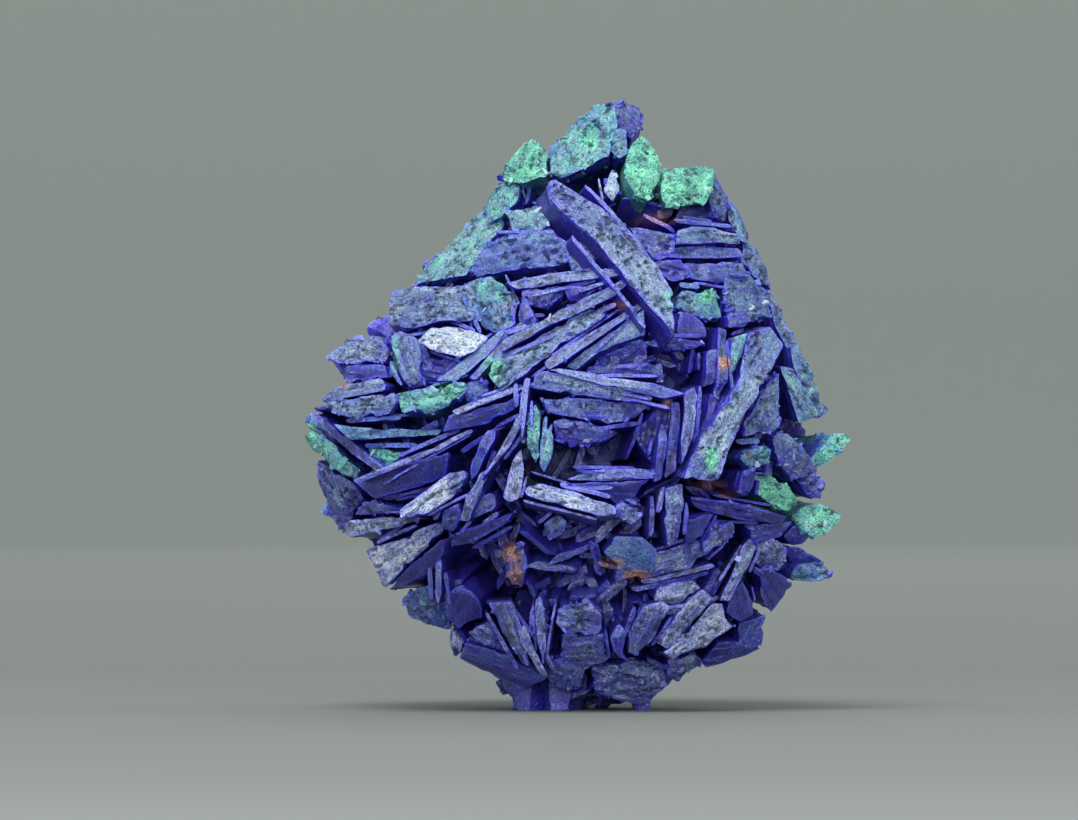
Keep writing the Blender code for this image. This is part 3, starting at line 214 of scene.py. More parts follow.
# The left shoulder
LEFT_SHOULDER = (
    ("pitted_mass", 0.6, 0.2, (0.0, -0.6), 0.45, 0.05, "pitted", ((-9.3, 20.95), (-8.5, 21.15),
        (-6.1, 21.15), (-4.6, 21.65), (-4.3, 20.45), (-5.1, 19.35), (-6.6, 19.35), (-8.4, 18.85),
        (-9.3, 19.15))),
    ("teal_dome", 0.9, 0.0, (0.0, -0.5), 0.33, 0.28, "rough", ((-4.7, 21.55), (-4.2, 21.75),
        (-3.5, 21.25), (-2.8, 20.35), (-3.0, 19.05), (-3.85, 18.7), (-4.9, 19.25), (-5.1, 20.45))),
    ("left_box", 0.6, 0.5, (1.0, -1.0), 0.55, 0.0, "rough", ((-12.55, 17.6), (-11.35, 18.5),
        (-10.5, 18.8), (-9.5, 18.65), (-9.3, 17.85), (-9.5, 17.35), (-11.0, 17.25), (-12.1, 17.3))),
    ("box_foot", 0.2, -0.5, None, 0.14, 0.0, "striated", ((-12.2, 17.25), (-9.5, 17.25), (-9.2, 16.55),
        (-11.35, 16.25), (-11.7, 16.45))),
    ("left_upright", 0.9, 0.0, None, 0.42, 0.1, "striated", ((-9.2, 18.55), (-8.7, 18.95),
        (-7.7, 18.45), (-7.65, 16.15), (-8.4, 16.05), (-8.9, 17.05))),
    ("pale_lozenge", 1.2, 0.6, (0.2, -0.9), 0.97, 0.0, "pitted", ((-7.85, 18.4), (-7.2, 19.1),
        (-6.3, 19.25), (-5.0, 18.95), (-4.15, 18.55), (-4.9, 17.85), (-5.65, 17.5), (-7.1, 17.9))),
    ("lozenge_step", 0.2, -0.4, None, 0.14, 0.0, "striated", ((-7.7, 17.85), (-5.7, 17.35),
        (-6.2, 16.45), (-7.5, 16.35))),
    ("grey_rod", 1.0, 0.1, (0.6, -0.4), 0.4, 0.12, "smooth", ((-3.6, 18.95), (-2.9, 19.35),
        (-4.4, 17.55), (-5.7, 16.4), (-7.0, 16.35), (-5.5, 17.45))),
    ("purple_fin", 1.1, 0.0, None, 0.3, 0.0, "striated", ((-3.0, 19.55), (-2.65, 20.6), (-2.4, 20.55),
        (-1.8, 19.35), (-2.4, 18.85))),
    ("thin_purple_blade", 1.4, 0.2, (0.4, -0.4), 0.4, 0.0, "striated", ((-2.7, 19.35), (-2.3, 19.15),
        (-4.9, 16.4), (-5.25, 16.55))),
)

# The bars that run down from the long blade to the left
DIAGONALS = (
    ("flat_bar", 1.3, 0.3, (0.0, -0.5), 0.45, 0.0, "pitted", ((-3.5, 21.35), (-1.6, 21.65), (0.9, 22.0),
        (2.0, 21.95), (2.3, 21.5), (-0.6, 21.25), (-2.9, 20.9))),
    ("under_bar", 0.8, -0.2, None, 0.3, 0.0, "pitted", ((-2.8, 20.85), (-0.6, 21.2), (-0.5, 20.65),
        (-1.35, 19.85), (-2.4, 20.15))),
    ("blue_wedge", 0.9, -0.3, None, 0.08, 0.0, "smooth", ((-0.6, 21.1), (1.5, 21.0), (0.4, 20.35),
        (-0.3, 20.35))),
    ("diagonal_rim_right", 1.9, 0.3, (0.4, -0.6), 0.45, 0.0, "striated", ((-0.3, 20.15), (2.0, 21.25),
        (2.4, 21.6), (2.6, 21.15), (2.0, 20.55), (0.0, 19.65))),
    ("diagonal_rim_left", 2.0, 0.3, (0.4, -0.5), 0.5, 0.1, "striated", ((-3.7, 18.25), (-3.1, 18.65),
        (-0.2, 20.15), (0.1, 19.7), (-2.6, 18.35), (-3.6, 17.8))),
    ("pitted_bar", 1.6, 0.2, (0.5, -0.9), 0.5, 0.1, "pitted", ((-4.35, 16.75), (-4.0, 17.8),
        (-2.6, 18.15), (-0.5, 19.35), (1.6, 20.4), (1.6, 19.55), (-0.6, 18.15), (-2.5, 16.65),
        (-3.7, 15.9))),
    ("slab_rim", 1.8, 0.3, (0.4, -0.5), 0.5, 0.0, "striated", ((-1.55, 17.3), (-0.6, 18.0),
        (1.4, 19.15), (3.4, 20.45), (3.5, 20.1), (1.7, 18.85), (-0.5, 17.35), (-1.3, 16.9))),
    ("grey_slab", 1.4, 0.1, (0.3, -0.7), 0.42, 0.15, "smooth", ((-0.6, 17.15), (1.7, 18.75),
        (3.45, 20.0), (3.5, 18.65), (2.0, 18.15), (1.0, 17.65), (0.1, 16.95))),
    ("slab_back", 0.4, -0.4, None, 0.22, 0.0, "striated", ((1.4, 17.95), (3.4, 18.55), (3.9, 18.2),
        (3.4, 17.05), (0.9, 17.05))),
    ("hollow_lintel", 0.7, -0.5, None, 0.15, 0.0, "rough", ((3.2, 18.3), (4.8, 18.55), (6.6, 18.3),
        (5.9, 17.95), (4.4, 17.85))),
    ("middle_slat", 0.2, -0.4, None, 0.22, 0.0, "striated", ((0.65, 17.15), (4.4, 17.35), (4.5, 16.3),
        (2.8, 16.25), (0.6, 16.75))),
)

# The middle of the front: level bars on top, upright blades below them
CENTRE = (
    ("centre_rim", 2.0, 0.4, (0.0, -0.5), 0.55, 0.0, "smooth", ((-1.35, 16.9), (-1.0, 17.05),
        (4.4, 16.2), (5.5, 15.8), (4.4, 15.55), (1.4, 16.15))),
    ("centre_bar", 1.7, 0.1, (0.0, -0.6), 0.42, 0.1, "pitted", ((-2.1, 16.05), (-2.0, 16.7),
        (-1.5, 16.9), (1.4, 16.4), (4.0, 15.85), (3.65, 15.25), (2.0, 15.45), (-0.6, 15.8))),
    ("second_slate", 1.2, -0.2, (0.0, -0.5), 0.3, 0.05, "rough", ((-1.7, 15.65), (1.4, 15.45),
        (3.9, 15.35), (2.8, 14.45), (1.6, 14.25), (-0.6, 14.65), (-1.5, 14.85))),
    ("third_slate", 0.9, -0.4, (0.0, -0.4), 0.26, 0.0, "rough", ((-1.1, 14.45), (-0.5, 14.65),
        (1.4, 14.25), (2.25, 13.9), (1.4, 13.35), (0.1, 13.1), (-0.9, 13.45))),
    ("cross_bar", 0.9, 0.3, (0.0, -0.4), 0.32, 0.0, "striated", ((-0.5, 11.55), (0.9, 12.05),
        (4.0, 12.1), (4.0, 11.6), (1.4, 11.45))),
    ("hollow_cheek", 0.5, -0.3, None, 0.1, 0.0, "striated", ((2.9, 13.75), (4.2, 15.35), (5.0, 15.55),
        (4.8, 13.65), (4.3, 12.15), (3.7, 12.35))),
    ("upright_left", 1.3, 0.0, None, 0.2, 0.0, "striated", ((4.2, 13.95), (4.6, 14.05), (4.4, 11.55),
        (3.9, 11.35), (4.0, 12.7))),
    ("upright_middle", 1.1, 0.0, None, 0.12, 0.0, "striated", ((4.8, 15.35), (5.3, 15.35), (5.0, 11.95),
        (4.5, 11.55), (4.6, 13.45))),
    ("upright_right", 1.5, 0.1, (-0.5, 0.0), 0.45, 0.0, "striated", ((5.5, 15.85), (6.0, 16.15),
        (6.15, 15.65), (5.8, 13.45), (5.3, 12.25), (5.2, 13.45))),
    ("thin_pin", 1.8, 0.2, (0.4, 0.0), 0.5, 0.0, "smooth", ((-2.5, 16.55), (-2.2, 16.55), (-2.4, 14.45),
        (-2.6, 13.45), (-2.75, 14.95))),
    ("slender_upper", 1.7, 0.2, (0.6, -0.3), 0.55, 0.0, "striated", ((-3.1, 14.05), (-2.8, 14.85),
        (-2.5, 15.15), (-2.6, 14.2), (-3.2, 13.15), (-4.3, 11.85), (-4.7, 11.45), (-4.1, 12.45))),
    ("slender_lower", 1.6, 0.2, (0.6, -0.2), 0.5, 0.0, "striated", ((-4.7, 11.85), (-4.1, 12.15),
        (-4.6, 10.85), (-5.3, 9.45), (-5.8, 9.45), (-5.3, 10.85))),
    ("purple_rod", 1.4, -0.2, (0.4, -0.2), 0.12, 0.0, "smooth", ((-4.4, 14.05), (-3.9, 14.05),
        (-3.9, 13.65), (-4.8, 11.75), (-5.2, 11.25), (-5.1, 12.35))),
    ("pale_blade", 1.5, 0.2, (-0.4, 0.0), 0.7, 0.0, "pitted", ((-3.0, 12.65), (-2.6, 13.05),
        (-2.45, 11.95), (-2.65, 10.6), (-3.2, 10.35), (-3.55, 10.6), (-3.3, 11.65))),
    ("green_blade", 1.4, 0.2, (0.3, 0.0), 0.4, 0.5, "rough", ((-2.4, 14.85), (-1.9, 15.35),
        (-1.65, 14.85), (-1.75, 12.65), (-2.05, 12.45), (-2.4, 13.15))),
    ("teal_blade", 1.3, 0.2, None, 0.5, 0.35, "smooth", ((-1.7, 13.55), (-1.3, 14.15), (-0.95, 13.65),
        (-1.1, 12.65), (-1.5, 11.75), (-1.8, 12.25))),
    ("pale_diagonal", 1.6, 0.4, (0.0, -0.7), 0.82, 0.0, "pitted", ((-2.5, 11.15), (-1.7, 11.4),
        (-0.1, 11.05), (2.0, 10.3), (2.2, 9.85), (1.2, 9.75), (-1.1, 10.35), (-2.4, 10.75))),
    ("navy_wedge", 0.7, -0.4, None, 0.08, 0.0, "smooth", ((-0.5, 11.35), (1.4, 11.45), (3.8, 11.55),
        (3.0, 10.65), (2.2, 10.25), (0.9, 10.75))),
    ("blue_chips", 1.2, 0.1, None, 0.4, 0.0, "rough", ((2.0, 10.25), (2.4, 10.45), (3.4, 9.75),
        (2.8, 9.25), (2.0, 9.75))),
    ("upright_rod", 1.4, 0.1, (-0.3, 0.0), 0.5, 0.0, "striated", ((4.5, 11.15), (5.4, 11.35),
        (5.4, 10.2), (5.15, 8.45), (4.6, 8.15), (4.4, 9.45))),
    ("navy_right", 0.4, -0.4, None, 0.1, 0.0, "smooth", ((5.4, 9.65), (6.9, 9.9), (6.3, 8.65),
        (5.5, 8.15))),
    ("slate_right", 0.6, 0.1, None, 0.4, 0.05, "rough", ((6.4, 8.45), (7.0, 9.45), (8.0, 9.45),
        (8.15, 8.75), (7.15, 8.05), (6.3, 7.85))),
)

# The bars and plates that reach out to the left
LEFT_MIDDLE = (
    ("top_thin_bar", 0.6, 0.3, (0.3, -0.3), 0.45, 0.0, "striated", ((-12.75, 15.55), (-12.0, 16.1),
        (-9.7, 16.6), (-9.25, 16.25), (-9.4, 15.9), (-12.6, 15.3))),
    ("left_bar", 1.0, 0.2, (0.4, -0.5), 0.5, 0.05, "pitted", ((-13.2, 15.1), (-12.1, 15.45),
        (-8.85, 15.9), (-8.75, 15.35), (-9.2, 14.75), (-10.8, 14.45), (-12.1, 14.8))),
    ("green_ended_bar", 1.3, 0.2, (0.2, -0.6), 0.42, 0.5, "rough", ((-8.85, 15.85), (-7.1, 16.1),
        (-5.4, 16.4), (-5.2, 15.95), (-5.65, 15.45), (-7.1, 14.8), (-8.6, 14.8))),
    ("dark_round", 1.0, -0.2, None, 0.2, 0.15, "rough", ((-5.35, 16.35), (-4.5, 16.5), (-4.2, 15.75),
        (-4.7, 15.3), (-5.5, 15.35))),
    ("lower_arm", 0.9, 0.3, (0.6, 0.3), 0.3, 0.0, "striated", ((-13.0, 14.75), (-12.6, 14.55),
        (-10.6, 13.05), (-9.4, 12.15), (-9.7, 11.85), (-11.6, 13.15), (-12.9, 14.25))),
    ("inner_wedge", 0.4, 0.1, (0.2, -0.5), 0.35, 0.3, "striated", ((-12.1, 14.35), (-11.0, 14.15),
        (-8.6, 14.05), (-6.6, 14.05), (-6.8, 13.75), (-9.35, 13.55), (-11.1, 13.45))),
    ("green_wedge", 0.2, 0.1, None, 0.4, 0.7, "rough", ((-10.5, 13.15), (-8.6, 12.95), (-8.7, 12.45),
        (-9.4, 12.15), (-10.1, 12.65))),
    ("left_plate", 1.1, 0.3, (0.8, -0.3), 0.6, 0.5, "rough", ((-13.65, 13.8), (-13.0, 13.95),
        (-12.0, 13.35), (-10.7, 11.95), (-11.0, 11.45), (-12.1, 12.05), (-13.35, 13.1))),
    ("left_plate_back", 0.6, -0.2, None, 0.28, 0.1, "striated", ((-13.4, 14.85), (-12.9, 14.85),
        (-11.6, 13.45), (-12.1, 13.2), (-13.35, 14.05))),
    ("left_low_face", 0.4, 0.1, (0.8, 0.0), 0.5, 0.0, "pitted", ((-12.85, 12.55), (-11.0, 11.35),
        (-10.5, 10.55), (-11.35, 9.35), (-11.9, 8.85), (-12.5, 10.05), (-12.85, 11.25))),
    ("big_dark_blade", 0.8, -0.6, (0.2, -0.5), 0.1, 0.0, "smooth", ((-11.0, 11.4), (-8.7, 12.3),
        (-6.2, 12.95), (-6.4, 11.75), (-7.6, 11.15), (-9.9, 10.55))),
    ("dark_blade_rim", 1.2, 0.5, None, 0.6, 0.0, "striated", ((-11.0, 11.5), (-8.7, 12.45),
        (-6.8, 13.2), (-5.2, 14.05), (-5.1, 13.85), (-6.7, 12.95), (-8.6, 12.15), (-10.8, 11.3))),
    ("upper_dark_blade", 0.9, -0.5, (0.2, -0.6), 0.12, 0.0, "smooth", ((-6.55, 13.85), (-6.2, 14.75),
        (-3.6, 15.35), (-2.55, 15.85), (-2.6, 15.25), (-4.3, 14.25), (-6.1, 13.95))),
    ("upper_dark_rim", 1.4, 0.5, (0.1, -0.4), 0.6, 0.0, "striated", ((-6.1, 14.95), (-2.6, 16.25),
        (-2.45, 16.0), (-5.9, 14.7))),
    ("striated_upper", 1.2, 0.35, (0.3, -0.5), 0.82, 0.0, "striated", ((-8.7, 10.05), (-7.6, 10.85),
        (-6.3, 11.85), (-5.5, 12.05), (-5.3, 11.75), (-6.0, 10.65), (-7.1, 9.85), (-8.6, 9.55))),
    ("striated_left", 0.9, 0.4, (0.4, -0.4), 0.76, 0.0, "striated", ((-11.8, 8.9), (-11.3, 9.5),
        (-8.6, 9.75), (-7.35, 9.65), (-8.7, 9.15), (-11.1, 8.6))),
    ("slate_wedge", 0.5, 0.0, None, 0.35, 0.0, "rough", ((-11.1, 9.7), (-10.35, 10.45), (-9.0, 10.2),
        (-8.6, 9.85))),
    ("striated_lower", 1.0, 0.45, (0.5, 0.2), 0.88, 0.0, "striated", ((-10.5, 8.05), (-8.7, 8.55),
        (-7.0, 9.45), (-6.3, 9.45), (-6.7, 8.65), (-8.4, 7.15), (-9.4, 6.05), (-9.8, 6.85))),
    ("dark_keel", 0.7, -0.6, (0.9, -0.3), 0.08, 0.0, "smooth", ((-9.4, 6.0), (-8.3, 7.15), (-6.6, 8.6),
        (-6.0, 8.85), (-6.5, 7.85), (-7.2, 6.75), (-8.5, 6.15))),
    ("blue_corner", 1.1, 0.0, None, 0.22, 0.0, "pitted", ((-6.6, 9.95), (-5.7, 10.45), (-5.5, 9.45),
        (-6.1, 8.85), (-6.7, 9.05))),
    ("dark_band", 0.7, -0.5, None, 0.1, 0.0, "striated", ((-6.2, 8.85), (-4.6, 9.35), (-2.8, 10.05),
        (-3.35, 9.35), (-5.1, 8.35), (-6.35, 8.05))),
    ("rough_step", 0.9, 0.1, None, 0.38, 0.0, "rough", ((-5.2, 10.45), (-4.1, 10.95), (-3.7, 10.15),
        (-5.0, 9.55))),
)

# The lower front, from the left round to the fan of plates on the right
LOWER = (
    ("low_left_spike", 0.2, 0.1, (0.9, 0.3), 0.42, 0.15, "rough", ((-8.6, 5.55), (-8.1, 6.05),
        (-7.0, 6.35), (-6.4, 5.25), (-6.3, 3.85), (-8.25, 4.55))),
    ("edge_upright", 0.9, 0.1, (0.4, 0.0), 0.55, 0.0, "smooth", ((-6.9, 7.65), (-6.6, 7.75),
        (-6.55, 5.95), (-6.75, 5.25), (-6.95, 5.95))),
    ("dark_pocket", 0.1, -0.4, None, 0.12, 0.0, "smooth", ((-6.5, 5.85), (-5.6, 6.35), (-4.7, 5.55),
        (-4.6, 4.55), (-5.8, 4.05), (-6.4, 4.75))),
    ("bottom_left_face", 0.9, -0.2, (0.4, 0.3), 0.26, 0.0, "smooth", ((-5.85, 2.5), (-5.5, 3.45),
        (-3.6, 2.95), (-1.3, 1.65), (-2.1, 1.2), (-2.8, 0.95))),
    ("pale_chip", 0.9, 0.2, None, 0.8, 0.0, "pitted", ((-6.35, 3.95), (-6.0, 4.05), (-5.5, 3.4),
        (-5.6, 2.7), (-6.1, 2.65))),
    ("rough_wedge", 0.8, 0.1, None, 0.5, 0.0, "rough", ((-5.4, 3.95), (-4.4, 4.45), (-3.4, 3.05),
        (-4.7, 3.35))),
    ("front_blade", 1.5, 0.1, (-0.5, -0.2), 0.55, 0.0, "striated", ((-4.3, 5.45), (-3.0, 5.55),
        (-2.6, 4.35), (-2.2, 2.45), (-1.4, 1.75), (-2.6, 2.35), (-3.6, 3.95))),
    ("front_blade_right", 1.7, 0.2, (-0.4, -0.1), 0.75, 0.0, "pitted", ((-2.85, 4.2), (-2.4, 4.35),
        (-1.85, 2.95), (-1.2, 1.65), (-1.6, 1.75), (-2.6, 3.2))),
    ("sparkling_rod", 1.5, 0.1, None, 0.6, 0.0, "rough", ((-2.0, 5.55), (-1.7, 5.75), (-1.45, 4.85),
        (-1.35, 3.2), (-1.55, 2.25), (-1.95, 3.45))),
    ("rough_tip", 0.9, -0.2, None, 0.42, 0.0, "rough", ((-1.6, 2.35), (-0.5, 2.7), (0.6, 2.35),
        (0.4, 1.05), (-0.5, 0.95), (-1.3, 1.45))),
    ("rough_block", 1.1, 0.0, None, 0.4, 0.0, "rough", ((-0.85, 5.15), (0.65, 5.55), (1.4, 4.85),
        (1.3, 3.85), (-0.2, 3.75), (-1.0, 4.35))),
    ("lower_block", 0.8, -0.1, None, 0.45, 0.0, "rough", ((-0.6, 3.85), (1.6, 3.85), (1.7, 2.45),
        (0.4, 2.05), (-0.8, 2.7))),
    ("pitted_chip", 0.6, 0.0, None, 0.35, 0.0, "pitted", ((-1.6, 9.35), (-0.8, 9.85), (-0.3, 9.45),
        (-0.5, 8.85), (-1.3, 8.45))),
    ("teal_plate", 0.4, -0.2, None, 0.22, 0.2, "smooth", ((1.4, 7.85), (2.0, 8.7), (3.4, 8.7),
        (4.15, 8.05), (3.9, 6.85), (2.65, 6.95))),
    ("rough_lamina", 0.0, 0.2, None, 0.55, 0.0, "striated", ((2.1, 7.4), (6.4, 8.65), (7.6, 8.4),
        (5.8, 7.1), (3.6, 6.5), (2.05, 6.45))),
    ("clay_patch", 0.1, 0.0, None, 0.3, 0.0, "rough", ((-3.4, 8.2), (-2.6, 8.45), (-2.3, 7.45),
        (-2.6, 6.2), (-3.2, 6.25), (-3.5, 7.35))),
    ("pitted_rod", 1.0, 0.2, (0.5, -0.2), 0.65, 0.0, "pitted", ((7.8, 6.95), (8.3, 8.25), (8.8, 8.75),
        (9.05, 8.2), (8.65, 7.15), (8.2, 6.45), (7.7, 5.45), (7.1, 5.45))),
    ("fan_plate", 1.3, 0.25, (0.2, -0.5), 0.8, 0.0, "pitted", ((5.9, 4.35), (6.8, 5.45), (7.4, 5.45),
        (7.5, 4.65), (8.2, 4.3), (6.5, 3.15), (4.8, 2.55), (4.2, 2.95))),
    ("fan_middle", 1.0, 0.1, (-0.4, 0.0), 0.58, 0.0, "striated", ((5.6, 5.55), (6.4, 6.15), (7.0, 5.55),
        (4.6, 3.05), (4.0, 3.45))),
    ("fan_left", 1.1, 0.0, (-0.4, 0.0), 0.45, 0.0, "striated", ((3.4, 5.3), (4.4, 5.55), (4.8, 5.25),
        (3.9, 3.45), (3.2, 2.65), (2.6, 2.85), (2.8, 4.35))),
    ("blue_hook", 1.2, 0.0, None, 0.15, 0.0, "smooth", ((1.7, 3.65), (2.2, 4.35), (2.6, 3.95),
        (2.4, 2.95), (2.7, 2.45), (2.0, 2.85))),
    ("upper_fan", 0.7, 0.2, None, 0.62, 0.0, "striated", ((4.15, 6.35), (5.9, 6.55), (6.4, 6.05),
        (5.0, 5.15), (3.9, 5.45))),
    ("navy_facet", 0.5, -0.2, None, 0.1, 0.0, "smooth", ((7.5, 4.85), (7.8, 5.85), (8.4, 6.55),
        (9.0, 5.45), (9.0, 4.65), (8.3, 4.35))),
    ("navy_corner", 0.3, -0.3, (-0.6, 0.4), 0.08, 0.0, "smooth", ((8.9, 7.05), (9.7, 7.35), (11.0, 6.3),
        (9.85, 4.8), (9.4, 5.25))),
    ("navy_foot", 0.2, -0.1, None, 0.22, 0.0, "smooth", ((8.2, 4.35), (9.7, 4.75), (9.5, 3.75),
        (9.45, 3.15), (8.0, 2.95))),
    ("right_keel", 0.2, -0.3, (-0.3, 0.5), 0.22, 0.0, "striated", ((6.4, 2.35), (7.2, 3.35),
        (8.0, 3.45), (9.4, 3.05), (8.4, 2.55), (6.5, 2.0))),
    ("keel_chips", 0.4, 0.0, None, 0.48, 0.0, "rough", ((4.6, 2.45), (5.9, 2.85), (6.5, 2.45),
        (6.4, 2.05), (5.2, 1.35), (4.6, 1.65))),
    ("bottom_point", 0.7, -0.1, None, 0.46, 0.0, "rough", ((0.9, 2.05), (2.8, 2.35), (4.4, 2.25),
        (4.8, 1.25), (4.1, 0.8), (3.75, 0.15), (2.4, 0.4), (1.0, 0.85))),
)

# The right side: the great blade, upright strips behind it, and the spikes that stand out
RIGHT = (
    ("great_blade", 1.5, 0.2, (-0.6, 0.2), 0.64, 0.08, "pitted", ((8.7, 18.75), (9.9, 19.1),
        (10.5, 18.2), (9.8, 16.95), (7.8, 13.35), (7.1, 11.4), (5.45, 11.55), (6.2, 13.65), (8.2, 16.45))),
    ("second_blade", 1.0, 0.1, None, 0.48, 0.1, "rough", ((9.6, 16.55), (10.2, 16.85), (10.2, 14.2),
        (9.85, 13.75), (8.5, 13.65), (8.5, 14.25), (9.2, 15.65))),
    ("teal_strip", 1.1, 0.1, None, 0.4, 0.4, "striated", ((7.8, 18.55), (8.6, 18.8), (8.2, 17.2),
        (7.9, 16.65), (7.7, 17.65))),
    ("blue_strip", 0.8, 0.0, None, 0.35, 0.0, "striated", ((7.1, 19.15), (7.7, 18.95), (7.6, 16.45),
        (7.3, 15.35), (7.0, 15.65))),
    ("violet_strip", 0.6, 0.0, None, 0.3, 0.0, "striated", ((6.5, 17.85), (7.05, 18.05), (7.0, 16.25),
        (6.5, 16.05))),
    ("strip_foot", 0.5, -0.2, None, 0.12, 0.0, "striated", ((6.7, 15.85), (7.3, 15.35), (7.2, 14.45),
        (6.4, 14.05))),
    ("right_fin", 1.0, 0.1, (-0.5, 0.4), 0.5, 0.3, "striated", ((10.3, 17.15), (10.9, 17.05),
        (11.8, 15.55), (12.45, 14.6), (11.3, 14.2), (10.9, 15.35))),
    ("fin_back", 0.2, 0.1, (-0.9, 0.2), 0.45, 0.3, "rough", ((10.6, 18.2), (11.2, 18.2), (11.8, 17.05),
        (12.3, 15.55), (13.1, 14.95), (12.35, 14.4), (11.7, 15.0), (10.9, 17.05))),
    ("green_spike", 0.6, 0.1, (-2.4, -0.3), 0.45, 0.6, "rough", ((12.0, 12.45), (12.4, 13.25),
        (13.1, 13.85), (13.65, 13.8), (13.85, 13.45), (13.3, 12.85), (12.5, 12.05), (12.1, 12.05))),
    ("lavender_slab", 0.9, 0.1, (-0.6, -0.3), 0.4, 0.0, "rough", ((9.8, 13.55), (10.4, 14.05),
        (11.0, 13.65), (12.3, 12.25), (12.3, 11.75), (10.9, 11.45), (10.2, 12.25))),
    ("right_corner", 0.7, 0.0, (-1.2, 0.0), 0.3, 0.0, "rough", ((11.1, 11.45), (11.3, 11.75),
        (12.2, 11.85), (12.6, 11.3), (12.3, 10.45), (11.7, 10.65))),
    ("teal_druse", 1.0, 0.1, None, 0.42, 0.4, "rough", ((8.1, 12.55), (8.6, 13.0), (9.5, 13.25),
        (9.9, 12.85), (9.6, 12.25), (8.65, 12.05))),
    ("blue_druse", 0.8, -0.2, None, 0.1, 0.0, "rough", ((8.3, 11.95), (9.0, 12.15), (9.1, 11.35),
        (8.5, 10.55), (8.1, 10.95))),
    ("green_druse", 0.8, 0.1, None, 0.4, 0.8, "rough", ((9.0, 11.75), (10.0, 11.65), (10.9, 11.15),
        (11.2, 10.45), (10.7, 9.8), (9.8, 10.15), (9.0, 10.85))),
    ("mint_wedge", 0.8, 0.25, (-1.6, 0.2), 0.7, 0.7, "rough", ((10.85, 9.65), (11.3, 10.15),
        (12.4, 10.35), (13.5, 9.7), (12.9, 8.9), (12.1, 8.5), (11.25, 8.95))),
    ("under_mint", 0.3, -0.5, (-1.2, 0.0), 0.18, 0.0, "smooth", ((10.4, 8.65), (11.0, 9.35),
        (12.0, 8.65), (11.5, 8.15), (10.9, 8.15))),
    ("teal_spike", 0.4, -0.1, (-2.0, 0.4), 0.35, 0.35, "rough", ((11.0, 6.75), (11.3, 7.3),
        (12.4, 7.45), (12.95, 6.7), (12.4, 6.4), (11.2, 6.3))),
    ("black_spike", 0.1, -0.6, (-1.6, 0.2), 0.03, 0.0, "smooth", ((10.6, 8.05), (11.1, 8.2),
        (12.6, 7.35), (11.4, 7.15), (10.7, 7.35))),
    ("fan_spine", 0.6, -0.2, None, 0.14, 0.0, "striated", ((5.9, 10.65), (8.4, 10.35), (10.7, 9.65),
        (10.4, 9.25), (8.4, 9.45), (6.1, 10.05))),
    ("fan_wing", 0.5, 0.0, None, 0.2, 0.0, "striated", ((8.6, 9.25), (10.9, 9.45), (10.2, 8.55),
        (9.0, 8.25))),
    ("lavender_mass", 0.7, 0.1, None, 0.52, 0.0, "rough", ((9.0, 8.15), (9.8, 8.75), (10.6, 8.15),
        (10.6, 7.35), (9.9, 6.75), (9.2, 7.25))),
)

# Hollows in the massive middle: how deep they reach below the form, and their outline
HOLLOWS = (
    (8.0, ((-0.6, 26.4), (1.9, 27.2), (4.2, 25.0), (7.2, 24.9), (6.0, 23.7), (3.3, 23.8), (0.8, 24.6))),
    (6.0, ((2.3, 12.3), (3.2, 13.7), (3.9, 12.9), (3.7, 12.1))),
    (5.5, ((-6.6, 4.6), (-6.2, 6.9), (-4.2, 8.0), (-2.4, 6.4), (-3.4, 5.2), (-4.6, 3.4), (-5.6, 3.6))),
    (5.0, ((-5.0, 22.4), (-2.7, 24.2), (-1.2, 24.6), (-1.0, 23.2))))

# The broken foot: the x and y of the middle, half the width, half the depth and the height
FOOT = (
    (-2.3, -1.8, 0.9, 1.5, 3.8), (-0.8, -2.6, 0.8, 1.1, 3.2), (-2.0, 1.4, 1.1, 1.6, 4.2),
    (-0.1, 0.4, 0.9, 2.0, 3.4), (-1.0, 3.2, 1.3, 0.9, 3.8), (3.5, -2.2, 0.5, 0.9, 2.4))
FOOT_SIDES = 5
FOOT_SEED = 17
FOOT_SPLINTERS = 52
FOOT_SPREAD = (3.9, 3.5)  # how far out the splinters stand, along x and y
FOOT_BELOW = -0.6  # where the foot's crystals end, before they are cut off at the floor
FOOT_FLARE = 1.8  # how much wider they are at the top

# Marks on the front that cross the crystals: x, z, half width, half height, strength
GREEN_MARKS = (
    (0.88, 28.4, 0.4, 1.2, 0.7), (6.6, 20.5, 0.55, 0.4, 0.9), (6.7, 12.6, 0.35, 0.7, 0.9),
    (-4.0, 17.0, 0.6, 0.8, 0.6), (-4.2, 20.8, 0.9, 0.8, 0.5), (4.7, 20.4, 0.7, 0.5, 0.4),
    (-6.1, 15.9, 0.8, 0.45, 0.8), (-13.4, 13.8, 0.7, 0.6, 0.9), (-8.85, 17.6, 0.2, 1.2, 0.6))
CLAY_MARKS = (
    (7.4, 17.3, 0.35, 0.4, 1.0), (-11.45, 16.2, 0.3, 0.25, 0.9), (6.6, 11.25, 0.9, 0.22, 0.8),
    (7.6, 10.8, 0.6, 0.2, 0.6), (4.55, 15.3, 0.2, 0.2, 0.9), (2.2, 20.1, 0.45, 0.2, 0.8),
    (-3.1, 7.9, 0.45, 0.6, 1.0), (-2.9, 6.9, 0.4, 0.7, 0.9), (1.8, 7.4, 0.6, 0.3, 0.8),
    (3.0, 6.8, 0.8, 0.3, 1.0), (4.3, 24.4, 1.1, 0.35, 0.6))
# Pale dusty patches; the one at x 9.8, z 11.75 is a painted glint highlight
PALE_PATCH_AND_GLINT_MARKS = (
    (4.2, 10.5, 0.25, 0.6, 0.8), (9.2, 5.4, 0.35, 0.7, 0.6), (9.3, 13.8, 0.6, 0.25, 0.5),
    (9.8, 11.75, 0.4, 0.18, 0.9), (0.3, 11.4, 2.6, 0.25, 0.2))


# The form and the placing of the crystals

def reach(z):
    """The left and right reach of the form at a height."""
    return np.interp(z, FORM[:, 0], FORM[:, 1]), np.interp(z, FORM[:, 0], FORM[:, 2])


